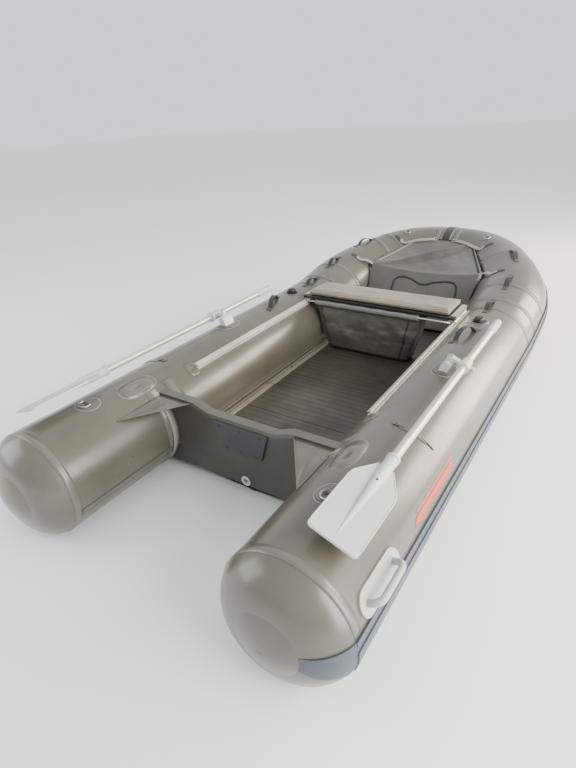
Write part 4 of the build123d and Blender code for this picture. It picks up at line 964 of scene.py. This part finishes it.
        pipe("bag_sleeve_piping", under, 0.003, TRIM, "seat")

    def rod(self) -> None:
        """Makes the alloy rod through the bag's sleeve, held in the brackets."""
        low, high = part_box("seat_board")
        bag_low, bag_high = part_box("under_seat_bag")
        path = [Vector((low.x + 0.02 + (high.x - low.x - 0.04) * step / 12, bag_low.y - 0.004,
                        bag_high.z - 0.014)) for step in range(13)]
        pipe("bag_rod", path, self.rod_radius, SHAFT, "seat")


def soft_box(angle: float, axis: int, power: float = 7.0) -> float:
    """A rounded square's outline, one coordinate of it.

    Args:
        angle: Where on the outline.
        axis: 0 for the first coordinate, 1 for the second.
        power: How square it is.

    Returns:
        The coordinate, from -1 to 1.
    """
    c, s = math.cos(angle), math.sin(angle)
    scale = (abs(c) ** power + abs(s) ** power) ** (-1 / power)
    return scale * (s if axis else c)


def bottle(outer: Grid, inner: Grid) -> tuple[list[Vector], list[tuple[int, ...]]]:
    """A tube of cloth with its bottom closed.

    Args:
        outer: Rows of points of the outer face, from the bottom up.
        inner: Rows of points of the inner face.

    Returns:
        Points and faces.
    """
    rows, columns = len(outer), len(outer[0])
    points = [point for row in outer for point in row] + [point for row in inner for point in row]
    under = rows * columns
    faces: list[tuple[int, ...]] = []
    for row in range(rows - 1):
        for column in range(columns):
            after = (column + 1) % columns
            a, b = row * columns + column, row * columns + after
            c, d = a - column + columns + after, a + columns
            faces.append((a, b, c, d))
            faces.append((under + d, under + c, under + b, under + a))
    top = (rows - 1) * columns
    for column in range(columns):
        after = (column + 1) % columns
        faces.append((top + column, top + after, under + top + after, under + top + column))
    faces.append(tuple(reversed(range(columns))))
    faces.append(tuple(range(under, under + columns)))
    return points, faces


def apply_modifier(piece: bpy.types.Object, name: str) -> None:
    """Makes one modifier's result the piece's own mesh."""
    bpy.context.view_layer.objects.active = piece
    with bpy.context.temp_override(object=piece, active_object=piece):
        bpy.ops.object.modifier_apply(modifier=name)


def apply_subdivision(piece: bpy.types.Object) -> None:
    """Rounds a piece off with one subdivision."""
    smooth = piece.modifiers.new("round", "SUBSURF")
    smooth.levels = 1
    smooth.render_levels = 1
    apply_modifier(piece, "round")


# ---------------------------------------------------------------- bow bag
@dataclass
class BowBag:
    """The stretched cover of the bow locker, its zip, ties and bindings."""

    tube: AirTube
    thick: float = 0.0016
    rows: int = 60
    columns: int = 60

    def line(self, v: float) -> tuple[float, float, float]:
        """The cover's half width, place and height along its middle.

        Args:
            v: 0 at the front edge, 1 at the ridge, 2 at the foot.

        Returns:
            Half width, Y and Z.
        """
        aft = self.tube.transom_y
        stops = ((0.185, aft + 2.33, 0.531), (0.372, aft + 1.925, 0.439), (0.3, aft + 1.7, 0.129))
        index = min(1, int(v))
        share = v - index
        first, second = stops[index], stops[index + 1]
        half, y, z = (first[part] + (second[part] - first[part]) * share for part in range(3))
        return half, y, z

    def place(self, u: float, v: float) -> Vector:
        """A point of the cover.

        Args:
            u: -1 at port to 1 at starboard.
            v: 0 at the front edge to 2 at the foot.

        Returns:
            The point.
        """
        half, y, z = self.line(v)
        reach = self.tube.clear_x(y, z, half, 0.005)
        x = u * reach
        pinned = (1 - abs(u) ** 3) * math.sin(math.pi * min(v, 1.0)) if v < 1 else 0.0
        slack = (1 - u * u) * math.sin(math.pi * (v - 1)) if v > 1 else 0.0
        across = u + (1 - 2 * min(v, 1.0)) * -1.0
        ridge = math.exp(-(across / 0.13) ** 2) * math.sin(math.pi * min(v, 1.0)) if v < 1 else 0.0
        grain = Vector((x * 1.3 + y * 0.8, y - x * 0.5, z))
        wrinkle = 0.006 * ruffle(grain, 0.16, 3.0) + 0.0022 * ruffle(grain, 0.05, 9.0)
        z += 0.02 * ridge - 0.022 * pinned * (1 - ridge) + 1.3 * wrinkle * pinned
        y += (0.012 * slack + wrinkle * 1.6 * slack) if v > 1 else 0.0
        crest = math.exp(-((v - 1) / 0.2) ** 2)
        z -= crest * 0.03 * (1 - u * u)
        return Vector((x, y, z))

    def normal(self, u: float, v: float) -> Vector:
        """The cover's upward normal at a point."""
        step = 0.01
        low_v, high_v = max(0.0, v - step), min(2.0, v + step)
        along = self.place(u, high_v) - self.place(u, low_v)
        across = self.place(min(1, u + step), v) - self.place(max(-1, u - step), v)
        return along.cross(across).normalized()

    def build(self) -> None:
        """Makes the cover and all that is sewn on it."""
        grids: list[Grid] = [[], []]
        for row in range(self.rows + 1):
            v = 2 * row / self.rows
            upper, lower = [], []
            for column in range(self.columns + 1):
                u = -1 + 2 * column / self.columns
                place = self.place(u, v)
                upper.append(place)
                lower.append(place - Vector((0, 0.35, 0.94)) * self.thick)
            grids[0].append(upper)
            grids[1].append(lower)
        points, faces = shell(grids[0], grids[1])
        faces = [face[::-1] for face in faces]
        cover = add_mesh("bow_cover", points, faces, BAG, "hull")
        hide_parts("bow_bag")
        self.sewn_line("cover_front_binding", [(u / 12, 0.015) for u in range(-12, 13)], 0.004, TRIM)
        self.sewn_line("cover_port_zip", [(-0.93, v / 20) for v in range(2, 19)], 0.005, LIGHT_WEB, flat=0.4)
        self.sewn_line("cover_starboard_edge", [(0.95, v / 20) for v in range(1, 20)], 0.005, TRIM, flat=0.5)
        diagonal = [(-0.9 + 1.8 * step / 30, 1 - step / 32) for step in range(31)]
        self.sewn_line("cover_diagonal_seam", diagonal, 0.0016, BAG)
        self.zip_flap()
        self.ties()

    def sewn_line(self, name: str, route: list[tuple[float, float]], radius: float, finish: Finish,
                  flat: float = 0.7) -> None:
        """A binding that follows the cover.

        Args:
            name: The piece's name.
            route: Its points on the cover.
            radius: Half its width.
            finish: Its finish.
            flat: Thickness over width.
        """
        path = [self.place(u, v) + self.normal(u, v) * radius * flat * 0.7 for u, v in route]
        pipe(name, path, radius, finish, "hull", flat=flat,
             up=self.normal(*route[len(route) // 2]))

    def zip_flap(self) -> None:
        """Makes the black binding round the rear opening: two rounded humps with a dip between."""
        outline = ((-0.5, 1.7), (-0.51, 1.45), (-0.49, 1.28), (-0.42, 1.18), (-0.3, 1.15), (-0.15, 1.19),
                   (0.0, 1.27), (0.12, 1.27), (0.28, 1.2), (0.46, 1.16), (0.6, 1.18), (0.69, 1.27),
                   (0.72, 1.42), (0.72, 1.7))
        spaced = smooth_path([Vector((u, v, 0)) for u, v in outline])
        route = [(point.x, point.y) for point in spaced]
        self.sewn_line("rear_opening_binding", route, 0.0055, TRIM, flat=0.6)

    def ties(self) -> None:
        """Makes the webbing ties from the cover's corners to the tubes, with their rings."""
        tube, aft = self.tube, self.tube.transom_y
        corners = ((0.02, aft + 2.33, 114.0), (1.0, aft + 1.95, 112.0))
        for number, (v, y, angle) in enumerate(corners):
            for side in SIDES:
                start = self.place(0.97 * side, v) + Vector((0, 0, 0.004))
                end = tube.skin(tube.at_y(y), angle + 9, 0.006, side)
                hook = tube.skin(tube.at_y(y), angle, 0.0065, side)
                path = smooth_path([start, start.lerp(end, 0.5) + Vector((0, 0, 0.006)), end, hook])
                outward = (hook - tube_middle(tube, y, side)).normalized()
                name = f"{number}_{side_name(side)}"
                pipe(f"cover_tie_{name}", path, 0.012, LIGHT_WEB, "hull", flat=0.14, up=outward)
                across = (end - start).normalized()
                beside = outward.cross(across).normalized()
                turns = [2 * math.pi * step / 24 for step in range(24)]
                ring = [start + 0.013 * (math.cos(turn) * across + math.sin(turn) * beside) for turn in turns]
                pipe(f"cover_ring_{name}", ring, 0.002, STEEL, "hull", closed=True, up=outward)
        for side, drop in ((-1, 0.17), (1, 0.1)):
            start = self.place(0.97 * side, 1.0)
            tail = [start + Vector((side * 0.002, -0.012 - 0.02 * share,
                                    -drop * share + 0.008 * math.sin(5 * share)))
                    for share in (0, 0.15, 0.3, 0.45, 0.6, 0.75, 0.9, 1.0)]
            tail = [Vector((side * tube.clear_x(point.y, point.z, abs(point.x), 0.012), point.y, point.z))
                    for point in tail]
            pipe(f"cover_tail_{side_name(side)}", smooth_path(tail), 0.009, TRIM if side < 0 else LIGHT_WEB,
                 "hull", flat=0.22, up=Vector((0, 1, 0.2)))


def tube_middle(tube: AirTube, y: float, side: int) -> Vector:
    """The middle of one side's tube at a place along the boat."""
    middle, _ = tube.centre(tube.at_y(y))
    return Vector((middle.x * side, middle.y, middle.z))


def smooth_path(points: list[Vector]) -> list[Vector]:
    """More points on a smooth line through the given ones."""
    path = []
    for index in range(len(points) - 1):
        before = points[max(index - 1, 0)]
        first, second = points[index], points[index + 1]
        after = points[min(index + 2, len(points) - 1)]
        for step in range(6):
            t = step / 6
            path.append(0.5 * ((2 * first) + (second - before) * t
                               + (2 * before - 5 * first + 4 * second - after) * t * t
                               + (3 * first - before - 3 * second + after) * t ** 3))
    return path + [points[-1]]


# ---------------------------------------------------------------- stage
@dataclass
class Studio:
    """Floor, lights and camera."""

    eye: tuple[float, float, float] = (1.123, -2.288, 1.403)
    heading: float = 0.609
    dip: float = 0.490
    roll: float = -0.062
    focal_share: float = 521.1 / 768
    sensor: float = 36.0

    def build(self) -> None:
        """Makes the whole stage."""
        self.floor()
        self.lights()
        self.camera()

    def floor(self) -> None:
        """Makes the pale ground with a world of the same tone."""
        size = 30.0
        mesh = bpy.data.meshes.new("ground")
        level = -0.0006
        corners = [(-size, -size, level), (size, -size, level), (size, size, level), (-size, size, level)]
        mesh.from_pydata(corners, [], [(0, 1, 2, 3)])
        mesh.materials.append(GROUND.build())
        ground = bpy.data.objects.new("ground", mesh)
        bpy.context.scene.collection.objects.link(ground)
        world = bpy.data.worlds.new("studio")
        world.use_nodes = True
        backdrop = world.node_tree.nodes["Background"]
        backdrop.inputs["Color"].default_value = (0.94, 0.96, 1.0, 1.0)
        backdrop.inputs["Strength"].default_value = 1.25
        bpy.context.scene.world = world

    def lights(self) -> None:
        """Places a broad key from starboard, a warm rim at the bow and a low fill from port."""
        plan = (
            ("key", (3.9, -0.9, 1.5), (0.3, -0.3, 0.2), 3.2, 430.0, (0.95, 0.98, 1.0)),
            ("rim", (3.0, 3.2, 1.5), (0.4, 1.0, 0.3), 2.2, 300.0, (1.0, 0.9, 0.74)),
            ("fill", (-3.4, -3.0, 1.8), (-0.4, -0.6, 0.2), 2.6, 90.0, (0.94, 0.97, 1.0)),
        )
        for name, place, aim, size, power, colour in plan:
            light = bpy.data.lights.new(name, "AREA")
            light.shape = "SQUARE"
            light.size = size
            light.energy = power
            light.color = colour
            lamp = bpy.data.objects.new(name, light)
            lamp.location = place
            lamp.rotation_euler = (Vector(aim) - Vector(place)).to_track_quat("-Z", "Y").to_euler()
            bpy.context.scene.collection.objects.link(lamp)

    def camera(self) -> None:
        """Sets up the camera from its heading, dip and roll."""
        lens = bpy.data.cameras.new("view")
        lens.sensor_fit = "VERTICAL"
        lens.sensor_height = self.sensor
        lens.lens = self.focal_share * self.sensor
        sine, cosine = math.sin(self.heading), math.cos(self.heading)
        ahead = Vector((-sine * math.cos(self.dip), cosine * math.cos(self.dip), -math.sin(self.dip)))
        right = Vector((cosine, sine, 0))
        upward = right.cross(ahead)
        level = math.cos(self.roll) * right + math.sin(self.roll) * upward
        top = -math.sin(self.roll) * right + math.cos(self.roll) * upward
        camera = bpy.data.objects.new("view", lens)
        turn = Matrix((level, top, -ahead)).transposed().to_4x4()
        camera.matrix_world = Matrix.Translation(self.eye) @ turn
        bpy.context.scene.collection.objects.link(camera)
        bpy.context.scene.camera = camera


def main() -> None:
    """Builds the looks in order and reports each step."""
    logging.basicConfig(level=logging.INFO)
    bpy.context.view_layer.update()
    Studio().build()
    dress_nodes()
    tube = AirTube()
    for part in (HullSeams(tube), SideBands(tube), Gussets(tube), OarBlades(), BowStrap(tube),
                 Bench(), BowBag(tube)):
        part.build()
        LOG.info("built %s", type(part).__name__)


if __name__ == "__main__":
    main()
